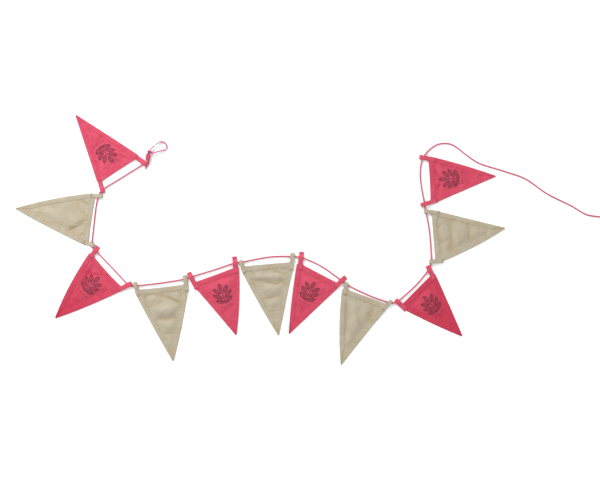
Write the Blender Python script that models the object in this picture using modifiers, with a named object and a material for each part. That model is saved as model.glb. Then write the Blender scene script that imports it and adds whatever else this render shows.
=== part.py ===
"""Fabric bunting: eleven hemmed pennants on one cord, laid out flat in a wide loop.

Each pennant hangs from two cloth tabs that are folded round the cord. A small snap
hook with a spring gate is knotted to one end of the cord, and the other end runs on
as a long free tail with a stopper knot.

The frame is metres, +Z up, with the surface that the bunting lies on at z = 0.
Tables below are in millimetres, seen from above, X to the right and Y up the page.
"""

import math
from collections import namedtuple

import bmesh
import bpy
from mathutils import Euler, Matrix, Vector

MM = 0.001
GAP = 0.3

# Cloth
HEM_WIDTH = 15.0
HEM_STEP = 2.5
HEM_THICKNESS = 2.0
FIELD_THICKNESS = 1.2
TIP_WIDTH = 3.6
FIELD_PUFF = 2.2
HEM_FALL = 20.0
FIELD_ROWS = 14
FIELD_COLUMNS = 7
TAB_THICKNESS = 0.9

# A tab's side view, measured back from its free end or from where the cord crosses
LONG_TAB_REACH = 11.5
LOOP_CLEARANCE = 0.4
LOOP_EASE = 0.6
LOOP_FRONT = 3.2
LOOP_FOOT = 8.3
LOOP_BACK = 5.5
CLOTH_REACH = 17.0
END_ROUNDING = 1.0
END_RUN = 3.0

# Cord
CORD_DIAMETER = 4.0
CORD_RADIUS = CORD_DIAMETER / 2
CORD_ON_FLOOR = CORD_RADIUS + 0.1
CORD_IN_TAB = TAB_THICKNESS + LOOP_CLEARANCE + CORD_RADIUS
TAB_RISE_FLAT = 10.0
TAB_RISE_END = 30.0
CORD_TOLERANCE = 1.0
HEIGHT_WEIGHT = 3.0

# Knot at the snap hook and stopper knot on the tail
KNOT_LENGTH = 24.5
KNOT_WIDTH = 15.0
KNOT_HEIGHT = 11.0
KNOT_TURNS = 5
KNOT_CENTRE = (-336.9, 245.5)
KNOT_HEADING = (0.12, 0.99)
STOPPER_LENGTH = 13.0
STOPPER_WIDTH = 12.0
STOPPER_TURNS = 2
KNOT_RIDGE = 0.09
KNOT_SHOULDER = 0.42
KNOT_STEPS_A_TURN = 4
KNOT_SIDES = 12
TAIL_TIP_LENGTH = 17.0

# Where the bight crosses the snap hook's rod, in the hook's own frame, and which way it runs
BIGHT_AT = (-3.9, 8.2)
BIGHT_HEADING = (0.95, -0.31)

BIGHT_EASE = 0.2
BIGHT_STEPS = 12
BIGHT_SWEEP = 140.0

# Snap hook
HOOK_ROD = 4.2
HOOK_PLACE = (-325.5, 257.0)
HOOK_TURN = 16.4
HOOK_SMALL_END_X = -4.7
HOOK_WIDE_END_X = 49.5
HOOK_RISE = CORD_DIAMETER + 2 * GAP
GATE_ROD = 3.4
GATE_PIVOT = (6.8, 16.7)
GATE_NOSE = (27.8, 25.3)
GATE_TONGUE = 1.1
GATE_ROOT_PAST_PIN = 1.9
GATE_TIP_PAST_NOSE = 0.9
ROOT_TONGUE = 7.6
TIP_TONGUE = 8.2
FORK_SLOT = GATE_TONGUE + 2 * GAP
ROOT_SLOT = 7.6
NOSE_SLOT = 6.4
NOSE_SLOT_SHIFT = 1.3
CUTTER_REACH = 9.0
PIN_DIAMETER = 1.2
PIN_PAST_ROD = 0.1

Pennant = namedtuple("Pennant", "name cloth first second tip base_bow first_bow second_bow")
Tab = namedtuple("Tab", "name cloth root end width past_cord")
Fold = namedtuple("Fold", "pennant start end height reach")

# Corners in order along the cord, and how far each edge bows out of the straight
PENNANTS = (
    Pennant("pennant_01", "pink", (-361, 249), (-488, 166), (-554, 372), 0, 1, 0),
    Pennant("pennant_02", "beige", (-495, 139), (-518, -21), (-734, 92), 0, 6, 3),
    Pennant("pennant_03", "pink", (-510, -37), (-408, -150), (-615, -236), -4, 7, 4),
    Pennant("pennant_04", "beige", (-381, -152), (-215, -133), (-262, -365), -2, 2, 4),
    Pennant("pennant_05", "pink", (-207, -132), (-65, -80), (-73, -287), -1, 0, 5),
    Pennant("pennant_06", "beige", (-63, -83), (101, -68), (54, -288), 1, 3, 0),
    Pennant("pennant_07", "pink", (110, -68), (242, -137), (86, -283), 0, 3, 0),
    Pennant("pennant_08", "beige", (245, -145), (387, -198), (242, -376), 0, 6, -1),
    Pennant("pennant_09", "pink", (417, -203), (521, -98), (604, -290), 0, 3, 1),
    Pennant("pennant_10", "beige", (525, -73), (512, 89), (733, 33), 0, 7, 0),
    Pennant("pennant_11", "pink", (510, 103), (502, 250), (705, 189), -2, 0, 3),
)

# Each tab from its sewn root on the cloth to its free end, with its reach past the cord
TABS = (
    Tab("tab_01_a", "pink", (-374.0, 247.2), (-341.5, 224.0), 14.0, 6.8),
    Tab("tab_01_b", "pink", (-483, 178), (-472, 139), 13.0, 8.2),
    Tab("tab_02_a", "beige", (-511, 131), (-474, 130), 12.0, 10.5),
    Tab("tab_02_b", "beige", (-531, -6), (-497, -19.4), 11.5, 7.4),
    Tab("tab_03_a", "pink", (-511, -56), (-486, -22), 13.5, 13.6),
    Tab("tab_03_b", "pink", (-427, -153), (-386, -132), 14.0, 8.9),
    Tab("tab_04_a", "beige", (-366, -170), (-377, -128), 10.5, 11.0),
    Tab("tab_04_b", "beige", (-221, -157), (-227, -108), 12.0, 10.8),
    Tab("tab_05_a", "pink", (-190, -150), (-215, -100), 13.5, 15.0),
    Tab("tab_05_b", "pink", (-73, -103), (-78, -52), 14.0, 19.1),
    Tab("tab_06_a", "beige", (-48, -104), (-60, -63), 10.5, 6.1),
    Tab("tab_06_b", "beige", (92, -94), (96, -41), 12.0, 10.9),
    Tab("tab_07_a", "pink", (117, -92), (124, -38), 14.0, 16.3),
    Tab("tab_07_b", "pink", (222, -145), (256, -113), 14.0, 16.1),
    Tab("tab_08_a", "beige", (252, -167), (258, -129), 11.5, 5.5),
    Tab("tab_08_b", "beige", (366, -213), (393, -184), 11.5, 8.7),
    Tab("tab_09_a", "pink", (437, -212), (405, -182), 14.0, 6.6),
    Tab("tab_09_b", "pink", (522, -122), (501, -80), 13.5, 9.4),
    Tab("tab_10_a", "beige", (548, -65), (506, -68), 11.5, 5.7),
    Tab("tab_10_b", "beige", (536, 79), (490, 84), 11.5, 6.3),
    Tab("tab_11_a", "pink", (531, 117), (481, 102), 12.5, 10.9),
    Tab("tab_11_b", "pink", (525, 237), (477, 247), 13.0, 11.1),
)

# Folds in the cloth: across runs 0 to 1 from the first corner's side to the second's,
# along runs 0 to 1 from the base to the tip. A height below 0 is a trough.
FOLDS = (
    Fold("pennant_01", (0.10, 0.30), (0.85, 0.10), 2.5, 22),
    Fold("pennant_01", (0.15, 0.55), (0.90, 0.42), -2.0, 14),
    Fold("pennant_02", (0.91, 0.30), (0.56, 0.06), -4.5, 8),
    Fold("pennant_02", (0.90, 0.13), (0.71, 0.03), -3.0, 7),
    Fold("pennant_02", (0.35, 0.15), (0.46, 0.05), -2.5, 7),
    Fold("pennant_02", (0.07, 0.20), (0.22, 0.07), -2.5, 7),
    Fold("pennant_02", (0.73, 0.24), (0.66, 0.05), 2.5, 8),
    Fold("pennant_02", (0.36, 0.58), (0.84, 0.40), 2.5, 26),
    Fold("pennant_03", (0.20, 0.04), (0.30, 0.42), -4.0, 13),
    Fold("pennant_03", (0.05, 0.14), (0.10, 0.42), 3.5, 15),
    Fold("pennant_03", (0.52, 0.10), (0.60, 0.50), 2.5, 20),
    Fold("pennant_04", (0.05, 0.13), (0.26, 0.08), -3.0, 8),
    Fold("pennant_04", (0.26, 0.08), (0.51, 0.11), -3.0, 8),
    Fold("pennant_04", (0.51, 0.11), (0.96, 0.26), -5.0, 9),
    Fold("pennant_04", (0.12, 0.30), (0.90, 0.31), 5.0, 16),
    Fold("pennant_04", (0.09, 0.42), (0.94, 0.43), -4.0, 9),
    Fold("pennant_04", (0.13, 0.50), (0.87, 0.54), 3.0, 11),
    Fold("pennant_04", (0.20, 0.61), (0.86, 0.64), -3.0, 8),
    Fold("pennant_04", (0.07, 0.69), (0.78, 0.73), 2.0, 10),
    Fold("pennant_05", (0.20, 0.22), (0.80, 0.14), 2.5, 22),
    Fold("pennant_05", (0.10, 0.60), (0.90, 0.52), -2.0, 14),
    Fold("pennant_06", (0.12, 0.19), (0.37, 0.23), -3.5, 8),
    Fold("pennant_06", (0.37, 0.23), (0.68, 0.28), -5.0, 8),
    Fold("pennant_06", (0.68, 0.28), (0.94, 0.22), -4.0, 8),
    Fold("pennant_06", (0.58, 0.09), (0.90, 0.17), -3.5, 7),
    Fold("pennant_06", (0.36, 0.16), (0.84, 0.19), 3.0, 10),
    Fold("pennant_06", (0.15, 0.33), (0.81, 0.35), 3.5, 13),
    Fold("pennant_06", (0.14, 0.48), (0.73, 0.45), -3.5, 8),
    Fold("pennant_06", (0.05, 0.55), (0.78, 0.55), 2.5, 10),
    Fold("pennant_06", (0.22, 0.65), (0.74, 0.66), -2.5, 7),
    Fold("pennant_07", (0.15, 0.20), (0.80, 0.16), 2.5, 24),
    Fold("pennant_07", (0.20, 0.62), (0.85, 0.50), -2.0, 14),
    Fold("pennant_08", (0.13, 0.12), (0.28, 0.59), -3.0, 8),
    Fold("pennant_08", (0.28, 0.10), (0.59, 0.45), 4.0, 15),
    Fold("pennant_08", (0.72, 0.06), (0.82, 0.30), -3.5, 12),
    Fold("pennant_08", (0.42, 0.04), (0.86, 0.33), 1.5, 7),
    Fold("pennant_08", (0.11, 0.09), (0.23, 0.01), -3.0, 7),
    Fold("pennant_09", (0.20, 0.20), (0.80, 0.24), 2.5, 24),
    Fold("pennant_09", (0.15, 0.55), (0.85, 0.58), -2.0, 14),
    Fold("pennant_10", (0.76, 0.25), (0.13, 0.23), -3.5, 9),
    Fold("pennant_10", (0.88, 0.50), (0.23, 0.49), -3.0, 9),
    Fold("pennant_10", (0.82, 0.65), (0.27, 0.62), -2.0, 8),
    Fold("pennant_10", (0.84, 0.37), (0.13, 0.37), 3.0, 13),
    Fold("pennant_10", (0.78, 0.12), (0.41, 0.10), 3.0, 10),
    Fold("pennant_10", (0.35, 0.04), (0.39, 0.17), -2.5, 7),
    Fold("pennant_10", (0.81, 0.03), (0.91, 0.12), -2.5, 7),
    Fold("pennant_10", (0.29, 0.10), (0.08, 0.11), -2.0, 7),
    Fold("pennant_11", (0.15, 0.10), (0.60, 0.18), -3.0, 12),
    Fold("pennant_11", (0.10, 0.28), (0.85, 0.16), 3.0, 18),
    Fold("pennant_11", (0.15, 0.60), (0.85, 0.52), -2.0, 14),
)

# The cord seen from above, from the knot at the hook to the stopper knot on the tail
CORD_ROUTE = (
    (-341.1, 231.8), (-347.3, 227.6), (-412, 187), (-474, 148), (-481, 140), (-486, 129),
    (-492, 103), (-501, 28), (-505, -10), (-505, -22), (-494.5, -33.5), (-436, -95),
    (-397, -135.5), (-388.5, -141.2), (-376, -140), (-304, -132), (-226, -119),
    (-208, -113), (-139, -92), (-75, -71), (-59, -69),
    (30, -53), (95, -52), (122, -55), (182, -81), (244, -125), (257, -135),
    (329, -170), (387, -190), (396, -192), (404, -190.5), (411, -186.5), (470, -134),
    (505.5, -89), (509.5, -81), (511.8, -68), (507, 20), (496, 83), (492, 105),
    (479, 195), (488, 245), (519, 278),
    (544, 287), (573, 284), (622, 249), (653, 229), (730, 204), (792, 182),
    (860, 136), (932, 100), (978, 74), (1019, 67), (1056, 62),
)

# The hook's rod from its nose round the wide end, back along the spine to the pivot
HOOK_ROUTE = (
    (27.0, 25.0), (30.5, 26.2), (35.5, 26.3), (41.0, 24.3), (46.0, 19.8), (49.0, 13.5),
    (49.2, 7.5), (46.8, 2.6), (42.0, 0.2), (34.0, 0.0), (22.0, 0.0), (10.0, 0.0),
    (2.0, 0.0), (-2.6, 1.4), (-4.7, 5.0), (-3.6, 9.4), (0.4, 12.9), (7.6, 17.0),
)

# Where the bight's two legs leave the knot, above and below, with heights
BIGHT_TOP = ((-335.7, 258.9, 7.8), (-336.4, 262.4, 9.4))
BIGHT_UNDER = ((-336.4, 262.4, 2.1), (-335.7, 258.9, 2.8))

# The cord's cut end, from the knot to its tip on the surface, with heights
STUB_ROUTE = (
    (-335.1, 232.1, 3.3), (-334.3, 228.6, 2.5), (-337.3, 222.6, 2.1),
    (-342.0, 215.8, 2.1), (-345.4, 210.4, 2.1),
)


def clear_scene():
    for item in list(bpy.data.objects):
        bpy.data.objects.remove(item, do_unlink=True)


def collection(name):
    made = bpy.data.collections.new(name)
    bpy.context.scene.collection.children.link(made)
    return made


def material(name, colour, roughness, metallic=0.0):
    made = bpy.data.materials.new(name)
    made.use_nodes = True
    shader = made.node_tree.nodes["Principled BSDF"]
    shader.inputs["Base Color"].default_value = (*colour, 1.0)
    shader.inputs["Roughness"].default_value = roughness
    shader.inputs["Metallic"].default_value = metallic
    return made


def make_materials():
    return {
        "pink": material("pink_cloth", (0.70, 0.085, 0.15), 0.85),
        "beige": material("beige_cloth", (0.55, 0.48, 0.36), 0.88),
        "cord": material("pink_cord", (0.68, 0.16, 0.24), 0.75),
        "hook": material("pink_anodised", (0.80, 0.25, 0.46), 0.3, 1.0),
        "gate": material("bare_aluminium", (0.82, 0.82, 0.83), 0.25, 1.0),
    }


def smoothstep(low, high, value):
    t = min(max((value - low) / (high - low), 0.0), 1.0)
    return t * t * (3 - 2 * t)


def blend(a, b, t):
    return a + (b - a) * t


def distance_to_segment(point, start, end):
    """Distance from a point to a segment, and how far along the segment the foot lies."""
    along = end - start
    t = min(max((point - start).dot(along) / along.length_squared, 0.0), 1.0)
    return (point - start - along * t).length, t


def smooth_curve(points, steps):
    """Points on a centripetal Catmull-Rom curve through the given ones."""
    points = [Vector(p) for p in points]
    first = points[0] * 2 - points[1]
    last = points[-1] * 2 - points[-2]
    path = [first, *points, last]
    curve = []
    for p0, p1, p2, p3 in zip(path, path[1:], path[2:], path[3:]):
        t0 = 0.0
        t1 = t0 + math.sqrt((p1 - p0).length)
        t2 = t1 + math.sqrt((p2 - p1).length)
        t3 = t2 + math.sqrt((p3 - p2).length)
        for step in range(steps):
            t = blend(t1, t2, step / steps)
            a1 = p0 * ((t1 - t) / (t1 - t0)) + p1 * ((t - t0) / (t1 - t0))
            a2 = p1 * ((t2 - t) / (t2 - t1)) + p2 * ((t - t1) / (t2 - t1))
            a3 = p2 * ((t3 - t) / (t3 - t2)) + p3 * ((t - t2) / (t3 - t2))
            b1 = a1 * ((t2 - t) / (t2 - t0)) + a2 * ((t - t0) / (t2 - t0))
            b2 = a2 * ((t3 - t) / (t3 - t1)) + a3 * ((t - t1) / (t3 - t1))
            curve.append(b1 * ((t2 - t) / (t2 - t1)) + b2 * ((t - t1) / (t2 - t1)))
    curve.append(points[-1])
    return curve


def thin_out(points, tolerance):
    """The fewest of the points that stay within the tolerance of them all."""
    if len(points) < 3:
        return points
    offsets = [distance_to_segment(p, points[0], points[-1])[0] for p in points]
    widest = max(range(len(points)), key=offsets.__getitem__)
    if offsets[widest] <= tolerance:
        return [points[0], points[-1]]
    before = thin_out(points[: widest + 1], tolerance)
    return before[:-1] + thin_out(points[widest:], tolerance)


def add_object(name, data, target, look=None):
    made = bpy.data.objects.new(name, data)
    target.objects.link(made)
    if look:
        data.materials.append(look)
    return made


def mesh_object(name, bm, target, look=None):
    mesh = bpy.data.meshes.new(name)
    bm.to_mesh(mesh)
    bm.free()
    return add_object(name, mesh, target, look)


def tube(name, points, radius, target, look, sides=2):
    """A round rod along points given in millimetres, with filled caps."""
    curve = bpy.data.curves.new(name, "CURVE")
    curve.dimensions = "3D"
    curve.bevel_depth = radius * MM
    curve.bevel_resolution = sides
    curve.use_fill_caps = True
    spline = curve.splines.new("POLY")
    spline.points.add(len(points) - 1)
    for slot, point in zip(spline.points, points):
        slot.co = (*(Vector(point) * MM), 1.0)
    spline.use_smooth = True
    return add_object(name, curve, target, look)


def as_mesh(item, target):
    """The curve object as a closed mesh object of the same name."""
    name = item.name
    looks = list(item.data.materials)
    bpy.context.view_layer.update()
    seen = item.evaluated_get(bpy.context.evaluated_depsgraph_get())
    mesh = bpy.data.meshes.new_from_object(seen)
    matrix = item.matrix_world.copy()
    bpy.data.objects.remove(item, do_unlink=True)
    bm = bmesh.new()
    bm.from_mesh(mesh)
    bmesh.ops.remove_doubles(bm, verts=bm.verts, dist=0.01 * MM)
    bmesh.ops.recalc_face_normals(bm, faces=bm.faces)
    bm.to_mesh(mesh)
    bm.free()
    made = add_object(name, mesh, target)
    made.data.materials.clear()
    for look in looks:
        made.data.materials.append(look)
    made.matrix_world = matrix
    return made


def boolean(item, cutter, operation="DIFFERENCE"):
    step = item.modifiers.new(cutter.name, "BOOLEAN")
    step.operation = operation
    step.solver = "EXACT"
    step.object = cutter


def hide_cutter(item):
    item.hide_render = True
    item.display_type = "WIRE"
    return item


def edge_point(start, end, bow, t, outward):
    return blend(start, end, t) + outward * (bow * 4 * t * (1 - t))


def corner_lift(point, tabs):
    """How far the cloth is lifted by the tab's lower leg under its corner."""
    reach = min(distance_to_segment(point, Vector(tab.root), Vector(tab.end))[0] for tab in tabs)
    return (TAB_THICKNESS + GAP) * (1 - smoothstep(20.0, 48.0, reach))


def fold_height(point, shape, folds, rim):
    """Height of the cloth's underside over the surface, away from its lifted corners."""
    height = FIELD_PUFF
    for fold in folds:
        start = shape(*fold.start)
        end = shape(*fold.end)
        off, t = distance_to_segment(point, start, end)
        fade = math.sin(math.pi * blend(0.22, 0.78, t))
        height += fold.height * fade * math.exp(-((off / fold.reach) ** 2))
    return max(height, 0.0) * smoothstep(HEM_WIDTH, HEM_WIDTH + HEM_FALL, rim)


def spread_columns(width, count):
    """Places across a row: the hem and its step at both sides, and the field between."""
    hem = min(HEM_WIDTH, 0.26 * width)
    step = min(HEM_STEP, 0.06 * width)
    inner = hem + step
    field = [blend(inner, width - inner, i / (count + 1)) for i in range(1, count + 1)]
    return [0.0, hem, inner, *field, width - inner, width - hem, width]


def make_pennant(pennant, tabs, target, look):
    first, second, tip = (Vector(p) for p in (pennant.first, pennant.second, pennant.tip))
    across = (second - first).normalized()
    middle = (first + second) / 2
    down = (tip - middle).normalized()
    half_tip = across * (TIP_WIDTH / 2)
    tips = (tip - half_tip, tip + half_tip)
    height = (tip - middle).length
    length_first = (tips[0] - first).normalized()
    out_first = Vector((length_first.y, -length_first.x))
    out_first *= -1 if out_first.dot(across) > 0 else 1
    length_second = (tips[1] - second).normalized()
    out_second = Vector((length_second.y, -length_second.x))
    out_second *= 1 if out_second.dot(across) > 0 else -1

    def shape(u, v):
        left = edge_point(first, tips[0], pennant.first_bow, v, out_first)
        right = edge_point(second, tips[1], pennant.second_bow, v, out_second)
        base = -down * (pennant.base_bow * 4 * u * (1 - u) * (1 - v) ** 4)
        return blend(left, right, u) + base

    crowded = pennant.cloth == "beige"
    rows = FIELD_ROWS if crowded else FIELD_ROWS - 4
    columns = FIELD_COLUMNS if crowded else FIELD_COLUMNS - 2
    row_first = (HEM_WIDTH + HEM_STEP) / height
    row_places = [0.0, HEM_WIDTH / height]
    row_places += [blend(row_first, 0.93, i / rows) for i in range(rows + 1)] + [1.0]
    folds = [fold for fold in FOLDS if fold.pennant == pennant.name]
    bm = bmesh.new()
    thick = bm.verts.layers.deform.verify()
    grid = []
    for v in row_places:
        width = (shape(1, v) - shape(0, v)).length
        line = []
        places = spread_columns(width, columns)
        for number, place in enumerate(places):
            point = shape(place / width, v)
            rim = min(place, width - place, v * height)
            lift = corner_lift(point, tabs)
            z = max(fold_height(point, shape, folds, rim), lift)
            vert = bm.verts.new((point.x * MM, point.y * MM, z * MM))
            field = 2 <= number <= len(places) - 3 and row_places[1] < v < 0.93
            vert[thick][0] = FIELD_THICKNESS / HEM_THICKNESS if field else 1.0
            line.append(vert)
        grid.append(line)
    for upper, lower in zip(grid, grid[1:]):
        for a, b, c, d in zip(upper, upper[1:], lower[1:], lower):
            bm.faces.new((a, b, c, d))
    bmesh.ops.recalc_face_normals(bm, faces=bm.faces)
    if sum(face.normal.z for face in bm.faces) < 0:
        bmesh.ops.reverse_faces(bm, faces=bm.faces)
    made = mesh_object(pennant.name, bm, target, look)
    made.vertex_groups.new(name="hem")
    shell = made.modifiers.new("cloth", "SOLIDIFY")
    shell.thickness = HEM_THICKNESS * MM
    shell.offset = 1.0
    shell.vertex_group = "hem"
    return made


def tab_profile(tab):
    """The folded strip seen from its side: along the tab and up, in millimetres."""
    length = (Vector(tab.end) - Vector(tab.root)).length + LOOP_EASE
    half = TAB_THICKNESS / 2
    crossing = length - LOOP_EASE - tab.past_cord
    over_cloth = TAB_THICKNESS + GAP + HEM_THICKNESS + GAP + half
    over_cord = CORD_IN_TAB + CORD_RADIUS + LOOP_CLEARANCE + half
    closed = TAB_THICKNESS + GAP + half
    lower = [(0.0, half), (length / 2, half), (length - END_RUN, half)]
    if tab.past_cord > LONG_TAB_REACH:
        end = [
            (length - END_ROUNDING, half + 0.2), (length - half, (half + closed) / 2),
            (length - END_ROUNDING, closed - 0.1), (length - END_RUN, closed),
            (crossing + LOOP_FOOT, closed),
            (crossing + (LOOP_FOOT + LOOP_FRONT) / 2, over_cord * 0.72),
            (crossing + LOOP_FRONT, over_cord),
        ]
    else:
        end = [
            (length - END_ROUNDING, half + 0.2), (length - half, closed + 0.05),
            (length - half, over_cord * 0.62), (length - END_ROUNDING - 0.3, over_cord * 0.9),
            (length - END_RUN, over_cord),
        ]
    back = min(crossing - LOOP_BACK - 4.0, CLOTH_REACH)
    return lower + end + [(crossing - LOOP_BACK, over_cord), (back, over_cloth), (0.0, over_cloth)]


def make_tab(tab, target, look):
    root, end = Vector(tab.root), Vector(tab.end)
    along = (end - root).normalized()
    side = Vector((-along.y, along.x)) * (tab.width / 2)
    bm = bmesh.new()
    pairs = []
    for place, height in tab_profile(tab):
        centre = root + along * place
        pairs.append([
            bm.verts.new((p.x * MM, p.y * MM, height * MM)) for p in (centre + side, centre - side)
        ])
    for (a, b), (c, d) in zip(pairs, pairs[1:]):
        bm.faces.new((a, b, d, c))
    made = mesh_object(tab.name, bm, target, look)
    shell = made.modifiers.new("strip", "SOLIDIFY")
    shell.thickness = TAB_THICKNESS * MM
    shell.offset = 0.0
    return made


def cord_height(point, crossings):
    """The cord lies on the surface, and rises over each tab's lower leg and to the stopper."""
    nearest = min((point - crossing).length for crossing in crossings)
    rise = 1 - smoothstep(TAB_RISE_FLAT, TAB_RISE_END, nearest)
    height = blend(CORD_ON_FLOOR, CORD_IN_TAB, rise)
    to_stopper = (point - Vector(CORD_ROUTE[-1])).length
    return blend(STOPPER_WIDTH / 2, height, smoothstep(0.0, 22.0, to_stopper))


def cord_points():
    crossings = []
    for tab in TABS:
        along = (Vector(tab.end) - Vector(tab.root)).normalized()
        crossings.append(Vector(tab.end) - along * tab.past_cord)
    path = []
    for point in smooth_curve(CORD_ROUTE, 24):
        height = cord_height(point, crossings)
        path.append(Vector((point.x, point.y, height * HEIGHT_WEIGHT)))
    kept = thin_out(path, CORD_TOLERANCE)
    return [Vector((point.x, point.y, point.z / HEIGHT_WEIGHT)) for point in kept]


def make_turned_knot(name, length, width, height, turns, centre, direction, target, look):
    """A barrel of cord turns, turned about its own axis and pressed flatter."""
    bm = bmesh.new()
    count = turns * KNOT_STEPS_A_TURN
    ring = []
    for i in range(count + 1):
        t = i / count
        end_rounding = math.sin(math.pi * blend(0.06, 0.94, t)) ** KNOT_SHOULDER
        ridge = abs(math.sin(math.pi * turns * t)) * KNOT_RIDGE
        radius = (1 - KNOT_RIDGE + ridge) * end_rounding * width / 2
        ring.append(bm.verts.new((radius * MM, 0.0, (0.5 - t) * length * MM)))
    top = bm.verts.new((0.0, 0.0, length / 2 * MM))
    bottom = bm.verts.new((0.0, 0.0, -length / 2 * MM))
    for a, b in zip([top, *ring], [*ring, bottom]):
        bm.edges.new((a, b))
    made = mesh_object(name, bm, target, look)
    turned = made.modifiers.new("turned", "SCREW")
    turned.angle = math.tau
    turned.steps = KNOT_SIDES
    turned.render_steps = KNOT_SIDES
    turned.axis = "Z"
    turned.use_merge_vertices = True
    turned.merge_threshold = 0.00001
    heading = math.atan2(direction[1], direction[0])
    made.matrix_world = (
        Matrix.Translation(Vector(centre) * MM)
        @ Matrix.Rotation(heading, 4, "Z")
        @ Matrix.Diagonal((1.0, 1.0, height / width, 1.0))
        @ Matrix.Rotation(math.pi / 2, 4, "Y")
    )
    return made


def hook_frame():
    """Places the snap hook: its small end rides up on the cord, its wide end lies down."""
    run = HOOK_WIDE_END_X - HOOK_SMALL_END_X
    tilt = math.atan2(HOOK_RISE, run)
    low = HOOK_ROD / 2 / math.cos(tilt)
    height = low + HOOK_WIDE_END_X * math.tan(tilt)
    return (
        Matrix.Translation(Vector((*HOOK_PLACE, height)) * MM)
        @ Matrix.Rotation(math.radians(HOOK_TURN), 4, "Z")
        @ Euler((0.0, tilt, 0.0)).to_matrix().to_4x4()
    )


def block_cutter(name, size, centre, turn, target):
    bpy.ops.mesh.primitive_cube_add(size=1.0)
    made = bpy.context.object
    made.name = name
    place = Matrix.Translation(Vector(centre) * MM) @ Matrix.Rotation(turn, 4, "Z")
    made.data.transform(place @ Matrix.Diagonal((*(Vector(size) * MM), 1.0)))
    move_to(made, target)
    return hide_cutter(made)


def move_to(item, target):
    for home in list(item.users_collection):
        home.objects.unlink(item)
    target.objects.link(item)


def rod(name, diameter, length, matrix, target, look=None, sides=12):
    bm = bmesh.new()
    bmesh.ops.create_cone(
        bm, cap_ends=True, segments=sides, radius1=diameter / 2 * MM,
        radius2=diameter / 2 * MM, depth=length * MM, matrix=matrix,
    )
    return mesh_object(name, bm, target, look)


def make_hook(parts, cutters, looks):
    """The snap hook's body, its gate and the pin that the gate turns on."""
    place = hook_frame()
    pivot, nose = Vector(GATE_PIVOT), Vector(GATE_NOSE)
    along = (nose - pivot).normalized()
    turn = math.atan2(along.y, along.x)
    flat = [Vector((*p, 0.0)) for p in HOOK_ROUTE]
    route = thin_out(smooth_curve(flat, 8), 0.12)
    body = as_mesh(tube("hook_body", route, HOOK_ROD / 2, parts, looks["hook"], 3), parts)
    slots = (("pivot_slot", pivot, ROOT_SLOT), ("nose_slot", nose + along * NOSE_SLOT_SHIFT, NOSE_SLOT))
    for name, centre, length in slots:
        size = (length, CUTTER_REACH, FORK_SLOT)
        boolean(body, block_cutter(name, size, (*centre, 0.0), turn, cutters))
    bore = Matrix.Translation(Vector((*pivot, 0.0)) * MM)
    pin_hole = hide_cutter(rod("pin_hole", PIN_DIAMETER + 2 * GAP, CUTTER_REACH, bore, cutters))
    boolean(body, pin_hole)

    start = pivot - along * GATE_ROOT_PAST_PIN
    end = nose + along * GATE_TIP_PAST_NOSE
    middle = (start + end) / 2
    lay = (
        Matrix.Translation(Vector((*middle, 0.0)) * MM)
        @ Matrix.Rotation(turn, 4, "Z")
        @ Matrix.Rotation(math.pi / 2, 4, "Y")
    )
    gate = rod("hook_gate", GATE_ROD, (end - start).length, lay, parts, looks["gate"])
    tongues = (("gate_root", pivot, ROOT_TONGUE), ("gate_tip", nose, TIP_TONGUE))
    for name, centre, length in tongues:
        for side, word in ((1, "top"), (-1, "under")):
            height = side * (GATE_TONGUE + GATE_ROD) / 2
            size = (length, CUTTER_REACH, GATE_ROD)
            boolean(gate, block_cutter(f"{name}_{word}", size, (*centre, height), turn, cutters))
    boolean(gate, pin_hole)
    pin = rod("hook_pin", PIN_DIAMETER, HOOK_ROD + 2 * PIN_PAST_ROD, bore, parts, looks["gate"], sides=10)
    for item in (body, gate, pin, *cutters.objects):
        item.matrix_world = place @ item.matrix_world
    return body, gate, pin


def make_bight(parts, look):
    """The loop of cord that runs from the knot round the hook's small end and back."""
    local = Vector(BIGHT_AT)
    place = hook_frame()
    middle = place @ (Vector((*local, 0.0)) * MM) / MM
    ring = HOOK_ROD / 2 + GAP + CORD_RADIUS + BIGHT_EASE
    heading = Vector(BIGHT_HEADING).normalized()
    points = []
    for step in range(BIGHT_STEPS):
        angle = math.radians(blend(BIGHT_SWEEP, -BIGHT_SWEEP, step / (BIGHT_STEPS - 1)))
        out = middle.xy + heading * (ring * math.cos(angle))
        height = max(middle.z + ring * math.sin(angle), CORD_ON_FLOOR)
        points.append(Vector((*out, height)))
    return tube("knot_bight", [*BIGHT_TOP, *points, *BIGHT_UNDER], CORD_RADIUS, parts, look)


def make_stub(parts, look):
    """The cord's cut end, which comes out of the knot and lies beside the first tab."""
    return tube("knot_stub", thin_out(smooth_curve(STUB_ROUTE, 6), 0.1), CORD_RADIUS, parts, look)


def make_tail_end(parts, look):
    """The stopper knot on the tail, and the short end of cord past it."""
    last, before = Vector(CORD_ROUTE[-1]), Vector(CORD_ROUTE[-2])
    heading = (last - before).normalized()
    clear = STOPPER_LENGTH / 2 + 2 * GAP
    middle = last + heading * clear
    centre = (*middle, STOPPER_WIDTH / 2 + 0.05)
    make_turned_knot("stopper_knot", STOPPER_LENGTH, STOPPER_WIDTH, STOPPER_WIDTH, STOPPER_TURNS,
                     centre, heading, parts, look)
    start = middle + heading * clear
    path = []
    for step in range(6):
        t = step / 5
        flat = start + heading * (TAIL_TIP_LENGTH * t)
        path.append(Vector((*flat, blend(STOPPER_WIDTH / 2, CORD_ON_FLOOR, smoothstep(0.0, 0.9, t)))))
    tube("tail_tip", path, CORD_RADIUS, parts, look)


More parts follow.
